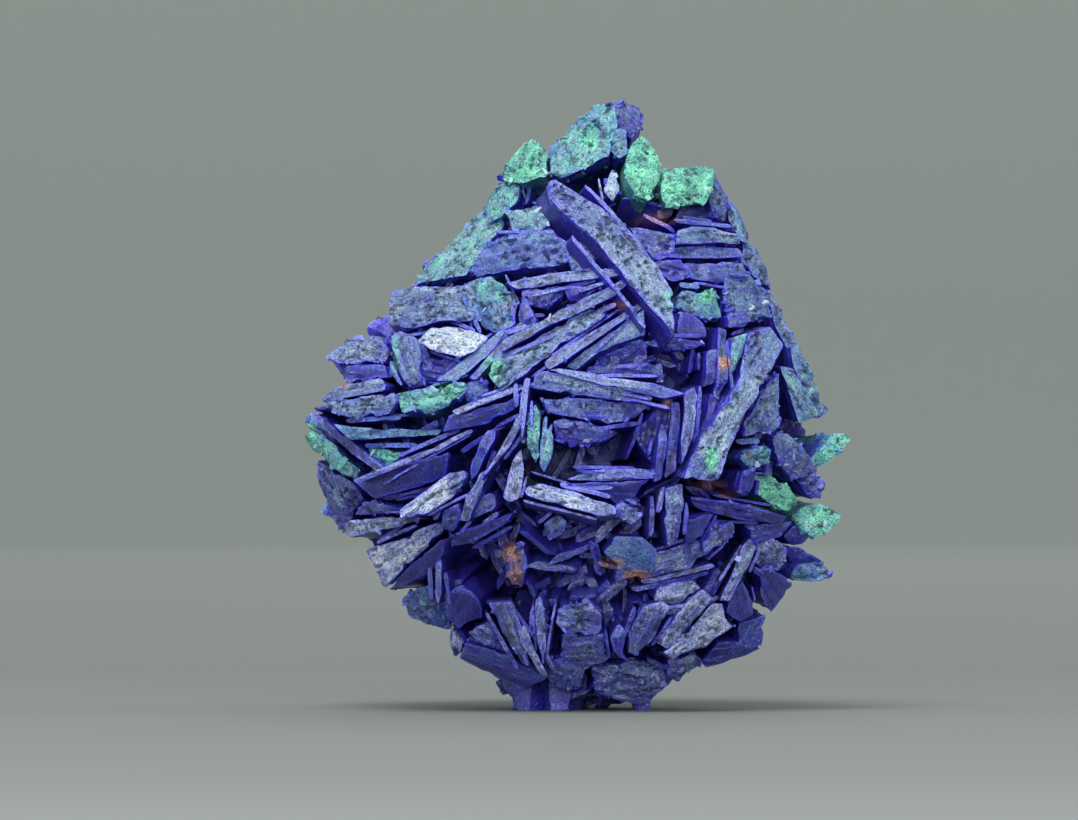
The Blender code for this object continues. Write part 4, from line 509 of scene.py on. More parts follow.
def half_width(z):
    """Half the form's width at a height."""
    left, right = reach(z)
    return (right - left) / 2


def middle_x(z):
    """The x of the form's middle at a height."""
    left, right = reach(z)
    return (left + right) / 2


def front_depth(x, z):
    """The y of the form's front at a place seen from the front. It is negative, towards the viewer."""
    across = np.minimum(0.96, np.abs(x - middle_x(z)) / half_width(z))
    return -DEPTH_SHARE * half_width(z) * np.sqrt(1 - across * across)


def widening(z):
    """How fast the form gets wider with height."""
    return (half_width(z + 0.6) - half_width(z - 0.6)) / 1.2


def on_back(azimuth, z):
    """Half the form's width, the way out of it and the place on it, at an angle round it and a height."""
    half = float(half_width(z))
    out = Vector((math.cos(azimuth), math.sin(azimuth), -float(widening(z)))).normalized()
    across = half * math.cos(azimuth)
    return half, out, Vector((float(middle_x(z)) + across, DEPTH_SHARE * half * math.sin(azimuth), z))


def front_slope(x, z, step=0.9):
    """How fast the form's front recedes along x and z."""
    along_x = (front_depth(x + step, z) - front_depth(x - step, z)) / (2 * step)
    along_z = (front_depth(x, z + step) - front_depth(x, z - step)) / (2 * step)
    return along_x, along_z


def front_crystal(proud, turn, lean, outline):
    """The outline of a front crystal's outer face, and the same outline at its root."""
    flat = np.array(outline)
    x_mid, z_mid = flat.mean(axis=0)
    y_mid = front_depth(x_mid, z_mid) - proud
    along_x, along_z = (max(-STEEPEST, min(STEEPEST, FACE_FOLLOWS * s)) for s in front_slope(x_mid, z_mid))
    along_z += turn
    off_x = x_mid - middle_x(z_mid)
    off_z = z_mid - BACK_MIDDLE
    if lean is None:
        root = np.array((-0.25 * off_x, ROOT_DEEP, -0.12 * off_z))
    else:
        root = np.array((lean[0] - 0.10 * off_x, ROOT_DEEP, lean[1] - 0.05 * off_z))
    depth = y_mid + along_x * (flat[:, 0] - x_mid) + along_z * (flat[:, 1] - z_mid)
    face = np.column_stack((flat[:, 0], depth, flat[:, 1]))
    return face, face + root


def tablet(shape, seat, out, angle, length, width, tilt, pitch=0.0):
    """The outer and the root outline of a tablet whose face lies across `out`, tilted over its width."""
    side = Vector((-out.y, out.x, 0.0)).normalized()
    up = side.cross(out)
    along = side * math.cos(angle) + up * math.sin(angle)
    across = out.cross(along)
    outer = []
    root = []
    for u, w in shape:
        outer.append(seat + (along + out * pitch) * (u * length) + (across + out * tilt) * (w * width))
        root.append(seat - out * ROOT_DEEP + along * (0.8 * u * length) + across * (0.9 * w * width))
    return np.array(outer), np.array(root)


def back_crystals():
    """Tablets of the back and the sides, spread evenly by the golden angle, in bundles that lie alike."""
    rng = random.Random(BACK_SEED)
    for k in range(BACK_TRIALS):
        azimuth = k * GOLDEN_ANGLE
        height = 1 - (k + 0.5) * 2 / BACK_TRIALS
        z = BACK_MIDDLE + BACK_REACH * height
        proud = rng.uniform(-0.7, 0.8)
        bundle = 1.5 * math.sin(2.1 * azimuth + 0.25 * z) + 1.1 * math.cos(0.33 * z - azimuth)
        angle = bundle + rng.gauss(0, BUNDLE_SPREAD)
        length = rng.uniform(*BACK_LENGTH)
        width = BACK_THIN + BACK_THICKER * rng.random() ** 1.5
        tilt = rng.uniform(-0.7, 0.7)
        pitch = rng.uniform(-0.22, 0.22)
        if math.sin(azimuth) < -0.02:
            continue
        half, out, seat = on_back(azimuth, z)
        edge = min(1.0, 1.6 * max(0.0, math.sin(azimuth)))
        fade = max(0.0, min(1.0, (CROWN_HEIGHT - z) / END_FADE, (z - FOOT_HEIGHT) / END_FADE))
        seat += out * (proud * edge * fade - BACK_SUNK * (1 - edge) - END_SUNK * (1 - fade))
        length *= (0.4 + 0.6 * min(1.0, half / 9.0)) * (0.6 + 0.4 * edge)
        yield z, tablet(TABLET, seat, out, angle, length, width, tilt, pitch)


def small_crystal(x, z, sunk, angle, length, width, tilt):
    """A small tablet between the large ones of the front, sunk below the form."""
    along_x, along_z = front_slope(x, z)
    out = Vector((float(along_x), -1.0, float(along_z))).normalized()
    seat = Vector((x, float(front_depth(x, z)), z)) - out * sunk
    return tablet(SPLINTER, seat, out, angle, length, width, tilt)


def fill_crystals():
    """Small tablets scattered over the front, deeper than the large ones."""
    rng = random.Random(FILL_SEED)
    for k in range(FILL_TRIALS):
        z = 3.0 + 20.5 * (k + rng.random()) / FILL_TRIALS
        x = float(middle_x(z) + 0.82 * half_width(z) * rng.uniform(-1, 1))
        sunk = rng.uniform(0.6, 1.3)
        angle = rng.uniform(-1.6, 1.6)
        length = rng.uniform(*FILL_LENGTH)
        yield small_crystal(x, z, sunk, angle, length, rng.uniform(*FILL_WIDTH), rng.uniform(-0.8, 0.8))


def gap_crystals():
    """Splinters deep in the gaps of the front."""
    rng = random.Random(GAP_SEED)
    for k in range(GAP_TRIALS):
        z = 0.6 + 25.2 * (k + rng.random()) / GAP_TRIALS
        x = float(middle_x(z) + 0.88 * half_width(z) * rng.uniform(-1, 1))
        sunk = rng.uniform(0.6, 1.5)
        angle = rng.uniform(-1.6, 1.6)
        length = rng.uniform(*GAP_LENGTH)
        width = rng.uniform(*GAP_WIDTH)
        tilt = rng.uniform(-0.8, 0.8)
        in_hollow = any(inside(np.array(((x, z),)), np.array(outline))[0] for _, outline in HOLLOWS[:2])
        if not in_hollow:
            yield small_crystal(x, z, sunk, angle, length, width, tilt)


def back_gap_crystals():
    """Splinters deep in the gaps of the back and the sides."""
    rng = random.Random(BACK_GAP_SEED)
    for k in range(BACK_GAP_TRIALS):
        azimuth = math.pi * rng.uniform(-0.05, 1.05)
        z = 0.6 + 26.0 * (k + rng.random()) / BACK_GAP_TRIALS
        half, out, seat = on_back(azimuth, z)
        seat -= out * rng.uniform(1.0, 1.9)
        angle = rng.uniform(-1.6, 1.6)
        length = rng.uniform(*BACK_GAP_LENGTH) * min(1.0, half / 7.0)
        width = rng.uniform(*BACK_GAP_WIDTH)
        yield z, tablet(SPLINTER, seat, out, angle, length, width, rng.uniform(-0.8, 0.8))


def foot_splinters():
    """Short splinters round the broken foot."""
    rng = random.Random(FOOT_SEED)
    for k in range(FOOT_SPLINTERS):
        turn = k * GOLDEN_ANGLE
        away = math.sqrt((k + 0.5) / FOOT_SPLINTERS)
        out = Vector((math.cos(turn), math.sin(turn), -0.9)).normalized()
        x = 0.3 + FOOT_SPREAD[0] * away * math.cos(turn)
        seat = Vector((x, FOOT_SPREAD[1] * away * math.sin(turn), rng.uniform(0.3, 1.6)))
        angle = rng.uniform(-1.6, 1.6)
        length = rng.uniform(1.2, 2.8)
        width = rng.uniform(0.6, 1.4)
        yield tablet(SPLINTER, seat, out, angle, length, width, rng.uniform(-0.8, 0.8))


def swirl_crystals():
    """Small splinters that lie round the lower middle of the front."""
    rng = random.Random(SWIRL_SEED)
    near, far = SWIRL_REACH
    for k in range(SWIRL_CRYSTALS):
        turn = k * GOLDEN_ANGLE
        away = near + (far - near) * math.sqrt((k + 0.5) / SWIRL_CRYSTALS)
        x = SWIRL_MIDDLE[0] + away * math.cos(turn)
        z = SWIRL_MIDDLE[1] + 0.62 * away * math.sin(turn)
        sunk = rng.uniform(0.2, 1.4)
        angle = turn + math.pi / 2 + rng.gauss(0, 0.35)
        length = rng.uniform(*SWIRL_LENGTH)
        width = rng.uniform(*SWIRL_WIDTH)
        yield small_crystal(x, z, sunk, angle, length, width, rng.uniform(-0.6, 0.6))


def foot_crystal(x, y, half, depth, height):
    """A crystal that runs down to the plane on which the cluster stands."""
    low = []
    high = []
    for k in range(FOOT_SIDES):
        a = math.tau * k / FOOT_SIDES + x + y
        across = half * math.cos(a)
        back = depth * math.sin(a)
        low.append((x + across, y + back, FOOT_BELOW))
        high.append((0.8 * x + FOOT_FLARE * across, 0.8 * y + FOOT_FLARE * back, height))
    return np.array(low), np.array(high)


# Noise

def hashed(i, j, k, seed):
    """A number from 0 to 1 for each corner of a lattice."""
    mixed = ((i * 73856093) ^ (j * 19349663) ^ (k * 83492791) ^ (seed * 60493)) & 0xFFFFFFFF
    mixed = ((mixed ^ (mixed >> 15)) * 1274126177) & 0xFFFFFFFF
    mixed = ((mixed ^ (mixed >> 13)) * 1103515245) & 0xFFFFFFFF
    return ((mixed >> 8) & 0xFFFF) / 65535.0


def noise(points, scale, seed=0):
    """Smooth noise from 0 to 1. The scale is in bumps per millimetre, one number or one for each axis."""
    place = points * scale
    base = np.floor(place).astype(np.int64)
    share = place - base
    share = share * share * (3 - 2 * share)
    total = np.zeros(len(points))
    for corner in itertools.product((0, 1), repeat=3):
        weight = np.prod(np.where(np.array(corner) == 1, share, 1 - share), axis=1)
        total += weight * hashed(*(base + corner).T, seed)
    return total


def pits(flat, seed):
    """Ragged pits stretched along a face's grain, from 0 outside to 1 at their floor."""
    wide = noise(flat, (1.5, 2.8, 1), seed)
    narrow = noise(flat, (5.0, 8.5, 1), seed + 1)
    return np.clip((0.4 * wide + 0.6 * narrow - 0.6) * 8, 0, 1)


# Crystal meshes

def sampled(outer, root, spacing):
    """Evenly spaced points along the outer outline, and their partners along the root outline."""
    tops = []
    bottoms = []
    for k in range(len(outer)):
        n = (k + 1) % len(outer)
        steps = max(1, round(float(np.linalg.norm(outer[n] - outer[k])) / spacing))
        share = (np.arange(steps) / steps)[:, None]
        tops.append(outer[k] + share * (outer[n] - outer[k]))
        bottoms.append(root[k] + share * (root[n] - root[k]))
    return np.concatenate(tops), np.concatenate(bottoms)


def face_basis(loop):
    """The middle of an outline, its long axis, its cross axis and its outward normal."""
    after = np.roll(loop, -1, axis=0)
    normal = np.cross(loop, after).sum(axis=0)
    normal /= np.linalg.norm(normal)
    middle = loop.mean(axis=0)
    spread = np.linalg.svd(loop - middle)[2][0]
    along = spread - normal * np.dot(spread, normal)
    along /= np.linalg.norm(along)
    return middle, along, np.cross(normal, along), normal


def inside(points, loop):
    """Which points lie inside a closed loop."""
    x, y = points[:, :1], points[:, 1:]
    ax, ay = loop.T
    bx, by = np.roll(loop, -1, axis=0).T
    crossing = (ay > y) != (by > y)
    rise = np.where(by == ay, 1e-9, by - ay)
    return (crossing & (x < (bx - ax) * (y - ay) / rise + ax)).sum(axis=1) % 2 == 1


def distance_to(points, loop):
    """The distance from each point to the nearest sample of a loop."""
    gap = points[:, None, :] - loop[None, :, :]
    return np.sqrt((gap * gap).sum(axis=2).min(axis=1))


def face_mesh(loop, spacing, rng):
    """Points and triangles that fill a flat loop. The loop's own points come first."""
    low = loop.min(axis=0)
    high = loop.max(axis=0)
    columns = np.arange(low[0], high[0], spacing)
    rows = np.arange(low[1], high[1], spacing * 0.866)
    grid = np.array([(x + 0.5 * spacing * (n % 2), y) for n, y in enumerate(rows) for x in columns])
    points = loop
    if len(grid):
        grid = grid + rng.uniform(-0.28, 0.28, grid.shape) * spacing
        grid = grid[inside(grid, loop)]
        if len(grid):
            grid = grid[distance_to(grid, loop) > 0.6 * spacing]
        points = np.concatenate((loop, grid))
    count = len(loop)
    edges = [(k, (k + 1) % count) for k in range(count)]
    made = delaunay_2d_cdt([Vector(p) for p in points], edges, [], 1, 1e-6)
    source = [origin[0] if origin else -1 for origin in made[3]]
    faces = [[source[k] for k in face] for face in made[2]]
    faces = np.array([face for face in faces if len(face) == 3 and min(face) >= 0])
    a, b, c = (points[faces[:, k]] for k in range(3))
    turned = (b[:, 0] - a[:, 0]) * (c[:, 1] - a[:, 1]) - (b[:, 1] - a[:, 1]) * (c[:, 0] - a[:, 0]) < 0
    faces[turned] = faces[turned][:, ::-1]
    return points, faces


def bevels(flat, rng):
    """How far two bevels, across one end and along one side, cut a face down."""
    cut = np.zeros(len(flat))
    spans = np.ptp(flat, axis=0)
    for axis in (0, 1):
        away = rng.choice((-1, 1)) * flat[:, axis] + rng.uniform(-0.35, 0.35) * flat[:, 1 - axis]
        away -= rng.uniform(0.12, 0.38) * spans[axis]
        cut = np.maximum(cut, np.clip(rng.uniform(0.25, 0.75) * away, 0, DEEPEST_BEVEL))
    return cut


def relief(flat, edge, habit, seed):
    """How far a face lies below its plane at points given along and across it, and its pits."""
    terraced, wavy, striated, pitted, roughened = HABITS[habit]
    steps = noise(flat, (0.45, 0.9, 1), seed) + 0.35 * noise(flat, (1.3, 2.3, 1), seed + 1)
    stair = steps * 5
    stair = (np.floor(stair) + np.clip((stair % 1) * 5, 0, 1)) / 5
    lower = terraced * stair
    lower += wavy * noise(flat, 0.8, seed + 2)
    fibre = 0.6 * noise(flat, (0.3, 4.5, 1), seed + 3) + 0.4 * noise(flat, (0.8, 9, 1), seed + 4)
    lower += striated * 1.6 * np.abs(fibre - 0.5) * 2
    holes = pits(flat, seed + 5) if pitted else np.zeros(len(flat))
    lower += pitted * holes
    lower += roughened * (0.6 * noise(flat, 2.6, seed + 6) + 0.4 * noise(flat, 6.0, seed + 7))
    lower += 0.03 * np.exp(-edge / 0.06)
    return lower, holes


def crystal(outer, root, habit, tone, green, spacing, seed, rows=SIDE_ROWS):
    """One closed crystal with its relief and the values that its look depends on."""
    rng = np.random.default_rng(seed)
    tops, bottoms = sampled(outer, root, spacing)
    normal = np.cross(tops, np.roll(tops, -1, axis=0)).sum(axis=0)
    if np.dot(normal, bottoms.mean(axis=0) - tops.mean(axis=0)) > 0:
        tops, bottoms = tops[::-1], bottoms[::-1]
    for _ in range(2):
        tops = 0.5 * tops + 0.25 * (np.roll(tops, 1, axis=0) + np.roll(tops, -1, axis=0))
    middle, along, across, normal = face_basis(tops)
    flat = np.column_stack(((tops - middle) @ along, (tops - middle) @ across))
    width = np.ptp(flat[:, 1])
    wear = min(1.0, width / 1.4)
    tangent = np.roll(flat, -1, axis=0) - np.roll(flat, 1, axis=0)
    tangent /= np.linalg.norm(tangent, axis=1)[:, None] + 1e-9
    inward = np.column_stack((-tangent[:, 1], tangent[:, 0]))
    arc = np.column_stack((flat, flat[:, 0] * 0))
    chips = 0.07 * noise(arc, 3.0, seed) + 0.20 * np.clip(noise(arc, 1.6, seed + 1) * 3 - 1.9, 0, 1)
    chips *= wear
    rim = flat + inward * (0.02 * wear + chips)[:, None]
    points, faces = face_mesh(rim, spacing, rng)
    count = len(rim)
    edge = distance_to(points, rim)
    edge[:count] = 0
    flat_points = np.column_stack((points, np.zeros(len(points))))
    lower, holes = relief(flat_points, edge, habit, seed)
    lower *= 0.35 + 0.65 * wear
    lower = np.maximum(0, lower - np.percentile(lower, 3))
    bevel = bevels(points, rng) * (1.0 if spacing < BACK_SPACING else BACK_BEVEL_SHARE)
    lower += bevel
    down = (bottoms - tops) / ROOT_DEEP
    mean_down = down.mean(axis=0)
    face = middle + points[:, :1] * along + points[:, 1:] * across + lower[:, None] * mean_down
    in_space = inward[:, :1] * along + inward[:, 1:] * across
    face[:count] = tops + in_space * (0.02 * wear + chips)[:, None] + lower[:count, None] * down
    all_points = [face]
    side_faces = []
    depths = [lower * 0]
    upper = np.arange(count)
    start = len(face)
    ledges = np.zeros(count)
    for deep in rows[1:]:
        strip = np.column_stack((flat * (0.4, 0.4), np.full(count, deep)))
        layer = noise(strip, (1, 1, 5.5), seed + 20) * 0.7 + noise(strip, (2.5, 2.5, 13), seed + 21) * 0.3
        ledges = 0.24 * wear * (np.floor(layer * 4) / 4)
        inset = chips * math.exp(-deep / 0.5) + ledges * min(1.0, deep / 0.25)
        share = (deep + lower[:count] * (1 - deep / ROOT_DEEP)) / ROOT_DEEP
        row = tops + (bottoms - tops) * np.minimum(1.0, share)[:, None] + in_space * inset[:, None]
        all_points.append(row)
        depths.append(np.full(count, deep))
        below = start + np.arange(count)
        upper_next = np.roll(upper, -1)
        below_next = np.roll(below, -1)
        side_faces.append(np.column_stack((upper, below, below_next)))
        side_faces.append(np.column_stack((upper, below_next, upper_next)))
        upper = below
        start += count
    all_points.append(bottoms.mean(axis=0)[None, :])
    depths.append(np.array([ROOT_DEEP]))
    cap = np.column_stack((np.roll(upper, -1), upper, np.full(count, start)))
    placed = np.concatenate(all_points)
    deep = np.concatenate(depths)
    side = np.clip(deep / 0.1, 0, 1)
    near_rim = np.zeros(len(placed))
    near_rim[:len(face)] = np.exp(-edge / 0.07)
    near_rim[len(face):] = np.exp(-deep[len(face):] / 0.07)
    hole = np.zeros(len(placed))
    hole[:len(face)] = holes
    pale = np.full(len(placed), tone)
    pale[:len(face)] *= np.where(bevel > 0.01, rng.uniform(0.5, 1.3), 1.0)
    offset = rng.uniform(-40, 40, 3)
    grain = (placed - middle) @ np.column_stack((along, across, normal))
    total = len(placed)
    return {
        "points": placed,
        "faces": np.concatenate([faces] + side_faces + [cap]),
        "grain": grain + offset,
        "bloom": pale,
        # How far down its side a point lies; the side colour darkens with it as painted shade
        "deep": np.clip(deep / 1.6, 0, 1),
        "green": np.full(total, green) * (1 - 0.3 * side),
        "side": side,
        # Nearness to the rim, which the material turns into paler wear and a painted rim highlight
        "rim": near_rim,
        # How deep a pit is; the material paints it with near-black shade
        "hole": hole,
        "druse": DRUSE[habit] * np.exp(-deep / 0.5),
    }


def side_plates(outer, root, rng):
    """Thin plates that lie along both sides of a long crystal, a little deeper than its face."""
    middle, along, across, normal = face_basis(outer)
    flat = np.column_stack(((outer - middle) @ along, (outer - middle) @ across))
    length, width = np.ptp(flat, axis=0)
    if length < 1.2 * width or length < 1.3:
        return
    down = (root - outer).mean(axis=0) / ROOT_DEEP
    for side in (-1, 1):
        away = 0.42 * width
        deep = 0.1
        for _ in range(rng.choice((0, 1, 1, 2))):
            thick = rng.uniform(*PLATE_THICKNESS)
            away += thick * 0.8 + rng.uniform(0.02, 0.12)
            deep += rng.uniform(0.12, 0.4)
            long = length * rng.uniform(0.35, 0.85)
            slip = (length - long) * rng.uniform(-0.4, 0.4)
            slant = rng.uniform(-0.2, 0.2)
            corners = ((-0.5, -0.5), (0.47, -0.5), (0.5, 0.3), (0.42, 0.5), (-0.46, 0.5))
            points = [middle + along * (slip + u * long) + down * deep
                      + across * (side * away + w * thick + slant * u * long) for u, w in corners]
            face = np.array(points)
            heights = face[:, 2]
            beside = np.abs(face[:, 0] - middle_x(heights)) / half_width(heights)
            between = FOOT_HEIGHT < heights.min() and heights.max() < PLATES_BELOW
            if between and beside.max() < PLATES_WITHIN:
                yield face, face + down * (ROOT_DEEP - deep)


def core():
    """The massive middle between the roots of the crystals, opened where the hollows are."""
    around = 150
    heights = np.arange(0.3, 27.4, 0.22)
    turns = np.arange(around) * math.tau / around
    z = np.repeat(heights, around)
    a = np.tile(turns, len(heights))
    half = np.maximum(1.0, half_width(z) - CORE_INSET)
    deep = np.maximum(0.9, DEPTH_SHARE * half_width(z) - CORE_INSET)
    points = np.column_stack((middle_x(z) + half * np.cos(a), deep * np.sin(a), z))
    rough = 1.0 * noise(points, 0.5, 1) + 0.5 * noise(points, 1.4, 2) + 0.3 * noise(points, 3.2, 3)
    inwards = np.column_stack((-np.cos(a), -np.sin(a), 0 * a))
    points = points + inwards * rough[:, None] * 0.9
    for below, outline in HOLLOWS:
        loop = np.array(outline)
        floor = front_depth(*loop.mean(axis=0)) + below
        seen = points[:, ::2]
        opened = inside(seen, loop) | (distance_to(seen, loop) < 0.25)
        floors = floor + 0.8 * noise(points, 0.9, 4) - 0.8
        points[:, 1] = np.where(opened & (points[:, 1] < 0), np.maximum(points[:, 1], floors), points[:, 1])
    ring = np.arange(around)
    after = np.roll(ring, -1)
    faces = []
    for level in range(len(heights) - 1):
        low = level * around
        high = low + around
        faces.append(np.column_stack((low + ring, low + after, high + after)))
        faces.append(np.column_stack((low + ring, high + after, high + ring)))
    count = len(points)
    ends = np.array(((middle_x(0.3), 0.0, 0.3), (middle_x(27.2), 0.0, 27.2)))
    faces.append(np.column_stack((after, ring, np.full(around, count))))
    top = (len(heights) - 1) * around
    faces.append(np.column_stack((top + ring, top + after, np.full(around, count + 1))))
    points = np.concatenate((points, ends))
    total = len(points)
    return {
        "points": points, "faces": np.concatenate(faces), "grain": points.copy(),
        # The middle lies deep, so its deep value of 0.7 gives it the painted shade of the lower sides
        "bloom": np.full(total, 0.1), "deep": np.full(total, 0.7), "green": np.full(total, 0.05),
        "side": np.full(total, 0.8), "rim": np.zeros(total), "hole": np.zeros(total),
        "druse": np.full(total, 0.35)}


# Colour, materials

def linear(text):
    """An sRGB hex colour as linear red, green, blue and alpha."""
    parts = (int(text[k:k + 2], 16) / 255 for k in (1, 3, 5))
    return tuple(c / 12.92 if c <= 0.04045 else ((c + 0.055) / 1.055) ** 2.4 for c in parts) + (1.0,)


def node(tree, kind, inputs=None, **settings):
    """Adds a node. An input's value is either set or, where it is another node's socket, linked."""
    made = tree.nodes.new(kind)
    for name, value in settings.items():
        setattr(made, name, value)
    for socket, value in (inputs or {}).items():
        if isinstance(value, bpy.types.NodeSocket):
            tree.links.new(value, made.inputs[socket])
        else:
            made.inputs[socket].default_value = value
    return made


def azurite(name, dust, gloss):
    """Azurite: deep ultramarine where it is fresh or shaded, with a grey-blue bloom of fine dust on the faces
    that weathered, paler on top partly as dust and partly as painted light from above, a painted bright blue
    highlight along the rims, painted black-blue shade in the pits and clefts, and malachite crusts."""
    material = bpy.data.materials.new(name)
    material.use_nodes = True
    tree = material.node_tree
    shader = tree.nodes["Principled BSDF"]
    grain = node(tree, "ShaderNodeAttribute", attribute_name="grain").outputs["Vector"]
    made = {key: node(tree, "ShaderNodeAttribute", attribute_name=key).outputs["Fac"] for key in POINT_VALUES}

    # Grain along the crystal: bumps per millimetre along, across and through it, detail, roughness
    for key, bumps, detail, rough in (
            ("fibre", (0.6, 8.0, 10.0), 3.0, 0.5), ("mottle", (1.1, 1.1, 1.1), 4.0, 0.65),
            ("fine", (11.0, 11.0, 11.0), 3.0, 0.7), ("speck", (8.0, 12.0, 11.0), 3.0, 0.5),
            ("crust", (1.5, 1.5, 1.5), 6.0, 0.75)):
        place = node(tree, "ShaderNodeVectorMath", {0: grain, 1: bumps}, operation="MULTIPLY").outputs[0]
        made[key] = node(tree, "ShaderNodeTexNoise", {
            "Vector": place, "Scale": 1.0, "Detail": detail, "Roughness": rough}).outputs["Fac"]

    # Fine dark specks, painted as the shade of tiny pits, and pale glints, painted highlights, where a noise
    # passes from the first value to the second
    for key, source, start, full in (("dark_speck", "speck", 0.565, 0.605), ("sparkle", "fine", 0.585, 0.66)):
        made[key] = node(tree, "ShaderNodeMapRange", {
            "Value": made[source], "From Min": start, "From Max": full}).outputs[0]

    # Each row makes a value from two others. CLAMPED multiplies them and keeps the result from 0 to 1.
    for key, operation, first, second in (
            ("cover", "MULTIPLY", "mottle", 1.5),
            ("cover", "ADD", "cover", 0.1),
            ("pale", "MULTIPLY", "bloom", "cover"),
            ("streak", "SUBTRACT", "fibre", 0.5),
            ("streak", "MULTIPLY", "streak", 0.8),
            ("pale", "ADD", "pale", "streak"),
            ("grit", "SUBTRACT", "fine", 0.5),
            ("grit", "MULTIPLY", "grit", 0.6),
            ("pale", "ADD", "pale", "grit"),
            # Paler along the rims: partly wear, partly a painted rim highlight
            ("rim_wear_and_painted_highlight", "MULTIPLY", "rim", 0.16),
            ("pale", "ADD", "pale", "rim_wear_and_painted_highlight"),
            # Paler where a face looks up: partly settled dust, partly painted light from above
            ("dust_and_painted_top_light", "MULTIPLY", "up", 0.12),
            ("pale", "ADD", "pale", "dust_and_painted_top_light"),
            ("lower_down", "MULTIPLY", "low", 0.10),
            ("pale", "ADD", "pale", "lower_down"),
            # Painted shade in the clefts: less bloom here, and a dark blue laid over them below
            ("shade", "MULTIPLY", "cleft", 0.35),
            ("pale", "SUBTRACT", "pale", "shade"),
            ("pale", "CLAMPED", "pale", dust),
            ("violet_here", "MULTIPLY", "low", 0.65),
            ("patchy", "MULTIPLY", "mottle", 0.9),
            ("patchy", "ADD", "patchy", 0.15),
            ("less_low", "MULTIPLY", "low", 0.5),
            ("less_low", "SUBTRACT", 1.0, "less_low"),
            ("wall_here", "MULTIPLY", "side", "less_low"),
            ("wall_here", "CLAMPED", "wall_here", "patchy"),
            # Painted highlight: a bright blue line along the rims, left out in the clefts
            ("open", "SUBTRACT", 1.0, "cleft"),
            ("painted_rim_highlight", "MULTIPLY", "rim", "open"),
            ("painted_rim_highlight", "MULTIPLY", "painted_rim_highlight", 0.65),
            ("painted_cleft_shade", "MULTIPLY", "cleft", 0.6),
            ("malachite_tone", "MULTIPLY", "fine", 0.5),
            ("mottled", "MULTIPLY", "mottle", 0.55),
            ("malachite_tone", "ADD", "malachite_tone", "mottled"),
            ("tint", "MULTIPLY", "mottle", 0.6),
            ("tint", "ADD", "green", "tint"),
            ("shaded", "MULTIPLY", "side", 0.4),
            ("shaded", "ADD", "shaded", 0.27),
            ("tint", "SUBTRACT", "tint", "shaded"),
            ("tint", "MAXIMUM", "tint", 0.0),
            ("tint", "MINIMUM", "tint", 0.55),
            ("crusted", "MULTIPLY", "green", 0.95),
            ("crust", "MULTIPLY", "crust", 1.7),
            ("crusted", "ADD", "crusted", "crust"),
            ("crusted", "SUBTRACT", "crusted", 1.13),
            ("crusted", "CLAMPED", "crusted", 2.3),
            ("coat_here", "MULTIPLY", "crusted", 0.82),
            ("clay_patch", "ADD", "mottle", 0.4),
            ("clay_here", "CLAMPED", "clay", "clay_patch"),
            # Painted highlights: small pale glints, most on the paler faces
            ("glint", "MULTIPLY", "pale", 0.9),
            ("glint", "ADD", "glint", 0.08),
            ("glint", "MULTIPLY", "sparkle", "glint"),
            # Painted shade in the pits and the fine dark specks; the pits themselves are real relief
            ("pitted", "MULTIPLY", "hole", 0.75),
            ("specked", "MULTIPLY", "dark_speck", 0.75),
            ("pitted", "ADD", "pitted", "specked"),
            ("pitted", "MINIMUM", "pitted", 0.88),
            ("dull", "MULTIPLY", "pale", 0.45),
            ("dull", "ADD", "dull", gloss),
            ("matt_crust", "MULTIPLY", "crusted", 0.2),
            ("dull", "ADD", "dull", "matt_crust"),
            ("dull", "CLAMPED", "dull", 1.0),
            ("height", "MULTIPLY", "fibre", 0.8),
            ("grainy", "MULTIPLY", "fine", 0.9),
            ("height", "ADD", "height", "grainy"),
            ("sunk", "MULTIPLY", "dark_speck", 0.7),
            ("height", "SUBTRACT", "height", "sunk")):
        clamped = operation == "CLAMPED"
        made[key] = node(
            tree, "ShaderNodeMath", {0: made.get(first, first), 1: made.get(second, second)},
            operation="MULTIPLY" if clamped else operation, use_clamp=clamped).outputs[0]

    # Colours that change with a value
    for key, source, stops in (
            ("blue", "pale", (
                (0.0, "#17116C"), (0.10, "#201C90"), (0.20, "#2B2CA2"), (0.30, "#364494"),
                (0.42, "#485A8C"), (0.58, "#64789A"), (0.76, "#8E9EB4"), (1.0, "#BCC6CF"))),
            ("violet", "pale", (
                (0.0, "#19127A"), (0.18, "#2A26A2"), (0.36, "#444AAA"), (0.58, "#6C74B2"),
                (0.78, "#9AA2CC"), (1.0, "#C8CEE6"))),
            ("malachite", "malachite_tone", (
                (0.3, "#1C525C"), (0.45, "#3E9080"), (0.56, "#62C698"), (0.72, "#A6ECC6"))),
            ("earth", "fine", ((0.3, "#6A4038"), (0.5, "#B07A66"), (0.7, "#DDB4A8")))):
        ramp = node(tree, "ShaderNodeValToRGB", {"Fac": made[source]})
        elements = ramp.color_ramp.elements
        elements.remove(elements[1])
        for k, (position, colour) in enumerate(stops):
            element = elements.new(position) if k else elements[0]
            element.position = position
            element.color = linear(colour)
        made[key] = ramp.outputs["Color"]

